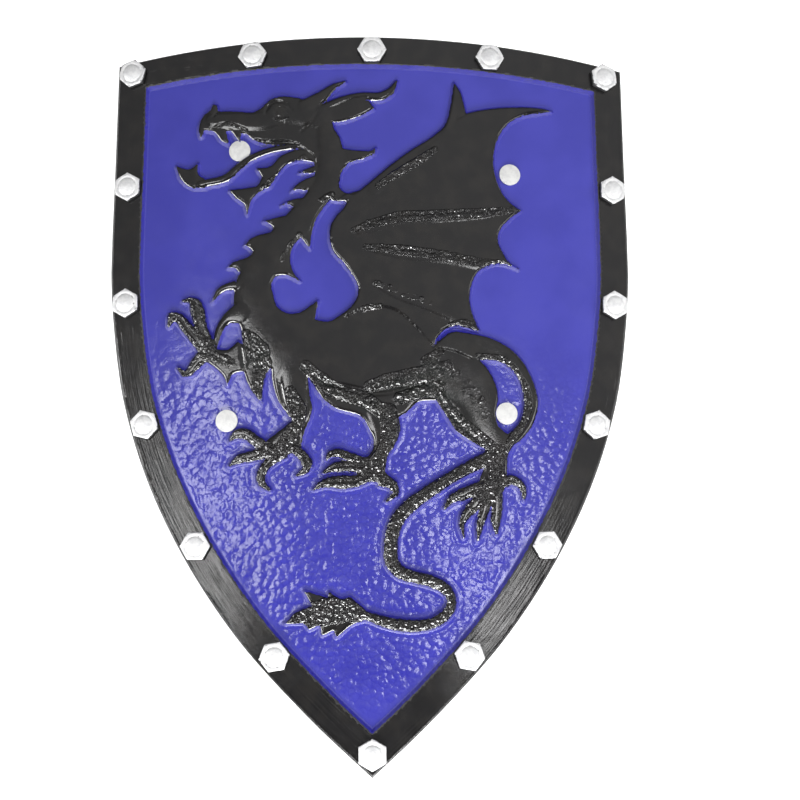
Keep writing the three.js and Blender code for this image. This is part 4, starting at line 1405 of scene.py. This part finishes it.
head = disc(RIVET_HEAD, GAP, GAP + RIVET_TALL)
shank = disc(RIVET_SHANK, BACK_HEAD - 0.2, GAP + 0.4, 24)
back_head = disc(RIVET_BACK, BACK_HEAD - RIVET_BACK_TALL, BACK_HEAD)
for part in (shank, back_head):
    apply_modifier(head, "BOOLEAN", operation="UNION", object=part, solver="EXACT")
    bpy.data.objects.remove(part, do_unlink=True)
apply_modifier(
    head, "BEVEL", width=RIVET_EASE * MM, segments=3, limit_method="ANGLE", angle_limit=SHARP_EDGE
)
select_only(head)
bpy.ops.object.shade_smooth_by_angle(angle=math.radians(40))
rivets = []
for side, pins in STRAP_PINS.items():
    for level_name, pin in zip(("upper", "lower"), pins):
        x, y = pin_place(pin)
        rivet = stood(head, f"flat_rivet_{side}_{level_name}", x, y, FIELD_THICK)
        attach(rivet, "root")
        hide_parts(f"rivet_{side}_{level_name}")
        rivets.append(rivet)
bpy.data.objects.remove(head, do_unlink=True)
print(len(rivets), "rivets go through the field")

# %% Finish of the rivets
RIVET_SILVER = (0.52, 0.52, 0.51)
RIVET_GREY = (0.43, 0.43, 0.43)


def rivet_metal():
    material, tree, shader, where = finish_for("satin_rivet_metal")
    cloud = band(tree, noise(tree, where, 240, 4, 0.6), 0.35, 0.7)
    colour = mixed_colour(tree, cloud, RIVET_SILVER, RIVET_GREY)
    plug(tree, shader, Base_Color=colour, Normal=bump(tree, noise(tree, where, 700, 3), 0.0003, 0.4))
    set_sockets(shader, Metallic=0.2, Roughness=0.6)
    return material


satin = rivet_metal()
for rivet in rivets:
    rivet.data.materials.append(satin)

# %% [markdown]
# Straps
#
# The straps can't be seen in the picture. Such a shield is worn on the forearm, so each is a
# band of black webbing from its upper rivet to its lower one, a little slack in the middle.
# A flat grid is laid along that path and thickened, so its weave can follow its length.

# %% Straps of webbing
STRAP_WIDE = 38.0
STRAP_END = 22.0
STRAP_SLACK = 9.0
STRAP_ROWS = 120
STRAP_COLUMNS = 16


def strap_point(start, along, span, run, aside):
    """A point in the middle of the webbing's thickness."""
    share = min(max((run - STRAP_END) / (span - 2 * STRAP_END), 0), 1)
    hang = STRAP_SLACK * max(math.sin(math.pi * share), 0) ** 0.8
    middle_x, middle_y = start + along * run
    lean = lean_at(middle_x) * (1 - hang / STRAP_SLACK)
    out = -(STRAP_GAP + hang + STRAP_THICK / 2)
    x = middle_x - along[1] * aside
    y = middle_y + along[0] * aside
    level = bow_at(middle_x) - math.tan(lean) * (x - middle_x) + out * math.cos(lean)
    return x + out * math.sin(lean), y, level


straps = []
for side, pins in STRAP_PINS.items():
    start, end = (pin_place(pin) for pin in pins)
    span = float(np.linalg.norm(end - start))
    along = (end - start) / span
    bpy.ops.object.select_all(action="DESELECT")
    bpy.ops.mesh.primitive_grid_add(x_subdivisions=STRAP_COLUMNS, y_subdivisions=STRAP_ROWS, size=2)
    strap = bpy.context.active_object
    strap.name = strap.data.name = f"webbing_strap_{side}"
    for vertex in strap.data.vertices:
        run = -STRAP_END + (span + 2 * STRAP_END) * (vertex.co.y + 1) / 2
        vertex.co = Vector(strap_point(start, along, span, run, vertex.co.x * STRAP_WIDE / 2)) * MM
    apply_modifier(strap, "SOLIDIFY", thickness=(STRAP_THICK - 0.1) * MM, offset=0)
    select_only(strap)
    bpy.ops.object.shade_smooth_by_angle(angle=math.radians(40))
    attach(strap, "root")
    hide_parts(f"strap_{side}")
    straps.append(strap)
    print(f"the {side} strap spans {span:.0f} mm between its rivets")

# %% [markdown]
# Webbing
#
# Nylon webbing shows fine ribs across its width and a tighter edge on both sides. The ribs
# are waves along the strap's own length, so they follow it where it bends.

# %% Finish of the straps
WEB_BLACK = (0.012, 0.012, 0.014)
WEB_GREY = (0.045, 0.045, 0.05)
WEB_RIBS = 130


def webbing():
    material, tree, shader, _ = finish_for("black_webbing")
    unwrap = tree.nodes.new("ShaderNodeUVMap")
    ribs = tree.nodes.new("ShaderNodeTexWave")
    ribs.bands_direction = "Y"
    ribs.inputs["Scale"].default_value = WEB_RIBS / 3.2
    ribs.inputs["Distortion"].default_value = 0.4
    tree.links.new(unwrap.outputs["UV"], ribs.inputs["Vector"])
    threads = tree.nodes.new("ShaderNodeTexWave")
    threads.bands_direction = "X"
    threads.inputs["Scale"].default_value = 8
    tree.links.new(unwrap.outputs["UV"], threads.inputs["Vector"])
    weave = maths(tree, "MULTIPLY", ribs.outputs["Fac"], band(tree, threads.outputs["Fac"], 0, 1, 0.5, 1))
    colour = mixed_colour(tree, weave, WEB_BLACK, WEB_GREY)
    plug(tree, shader, Base_Color=colour, Normal=bump(tree, weave, 0.0004, 0.8))
    set_sockets(shader, Roughness=0.7)
    return material


web = webbing()
for strap in straps:
    strap.data.materials.append(web)

# %% [markdown]
# The studio
#
# The shield lies on a pale floor. The camera looks down on it from a little below its middle,
# as the picture was taken. Two soft boxes overhead stand in the gloss of the lower field, and
# the room is lighter beyond the top edge. Two fills light the paint from low down but aren't
# mirrored in it. Three long strips near the floor are only mirrored, as glints on the pebbles.

# %% Floor
FLOOR_HALF = 6.0
FLOOR_LEVEL = -0.0005
bpy.ops.object.select_all(action="DESELECT")
bpy.ops.mesh.primitive_plane_add(size=2 * FLOOR_HALF, location=(0, 0, FLOOR_LEVEL))
floor = bpy.context.active_object
floor.name = "pale_floor"
floor_paint, floor_tree, floor_shader, floor_where = finish_for("pale_floor_paint")
floor_tone = mixed_colour(
    floor_tree, noise(floor_tree, floor_where, 3), (0.93, 0.93, 0.93), (0.95, 0.95, 0.95)
)
floor_tree.links.new(floor_tone, floor_shader.inputs["Base Color"])
set_sockets(floor_shader, Roughness=0.9, Emission_Color=(1, 1, 1, 1), Emission_Strength=0.6)
floor.data.materials.append(floor_paint)

# %% Light
world = bpy.data.worlds.new("light_room")
world.use_nodes = True
bpy.context.scene.world = world
room_tree = world.node_tree
room = room_tree.nodes["Background"]
room.inputs["Color"].default_value = (1.0, 1.0, 1.0, 1.0)
ROOM_BRIGHT = 0.80
ROOM_NEAR = 0.24
ROOM_LOW = 0.45
towards = room_tree.nodes.new("ShaderNodeTexCoord").outputs["Generated"]
parts = room_tree.nodes.new("ShaderNodeSeparateXYZ")
room_tree.links.new(towards, parts.inputs["Vector"])
away = band(room_tree, parts.outputs["Y"], -0.22, 0.14, ROOM_NEAR, ROOM_BRIGHT)
low_down = band(room_tree, parts.outputs["Z"], 0.35, 0.7, ROOM_LOW, 1.0)
leftwards = band(room_tree, parts.outputs["X"], -0.6, 0.2, 0.65, 1.0)
room_level = maths(room_tree, "MULTIPLY", maths(room_tree, "MULTIPLY", away, low_down), leftwards)
room_tree.links.new(room_level, room.inputs["Strength"])


def soft_box(name, place_m, aim_m, wide, tall, power):
    """A soft box at a place, turned towards a point."""
    lamp = bpy.data.lights.new(name, "AREA")
    lamp.shape = "RECTANGLE"
    lamp.size, lamp.size_y, lamp.energy = wide, tall, power
    light = bpy.data.objects.new(name, lamp)
    bpy.context.scene.collection.objects.link(light)
    light.location = place_m
    light.rotation_euler = (Vector(aim_m) - Vector(place_m)).to_track_quat("-Z", "Y").to_euler()
    return light


soft_box("soft_box_left", (-0.75, 0.0, 1.6), (-0.12, -0.08, 0), 0.66, 0.36, 7.3)
soft_box("soft_box_right", (0.53, -0.10, 1.6), (0.1, -0.12, 0), 0.44, 0.31, 5.2)
for name, at, wide, tall, power in [
    ("low_fill", (0.0, -1.35, 0.85), 1.3, 0.5, 32), ("side_fill", (1.4, 0.3, 0.9), 0.8, 0.8, 15),
]:
    soft_box(name, at, (0, 0, 0), wide, tall, power).visible_glossy = False
for name, at, wide, tall, power in [
    ("glint_low", (0.0, -1.4, 0.7), 2.0, 0.40, 125), ("glint_left", (-1.4, -0.3, 0.6), 1.2, 0.4, 36),
    ("glint_right", (1.4, -0.3, 0.6), 1.2, 0.3, 7),
]:
    soft_box(name, at, (0, 0, 0), wide, tall, power).visible_diffuse = False

# %% Camera
lens_data = bpy.data.cameras.new("camera")
lens_data.sensor_width = 36.0
lens_data.lens = lens_data.sensor_width * STEPS_AWAY / (2 * SHEET_MIDDLE)
camera = bpy.data.objects.new("camera", lens_data)
bpy.context.scene.collection.objects.link(camera)
bpy.context.scene.camera = camera
turned = Matrix((eye_right, eye_up, -sight)).transposed().to_4x4()
camera.matrix_world = Matrix.Translation(Vector(EYE) * MM) @ turned
bpy.context.scene.view_settings.view_transform = "Standard"
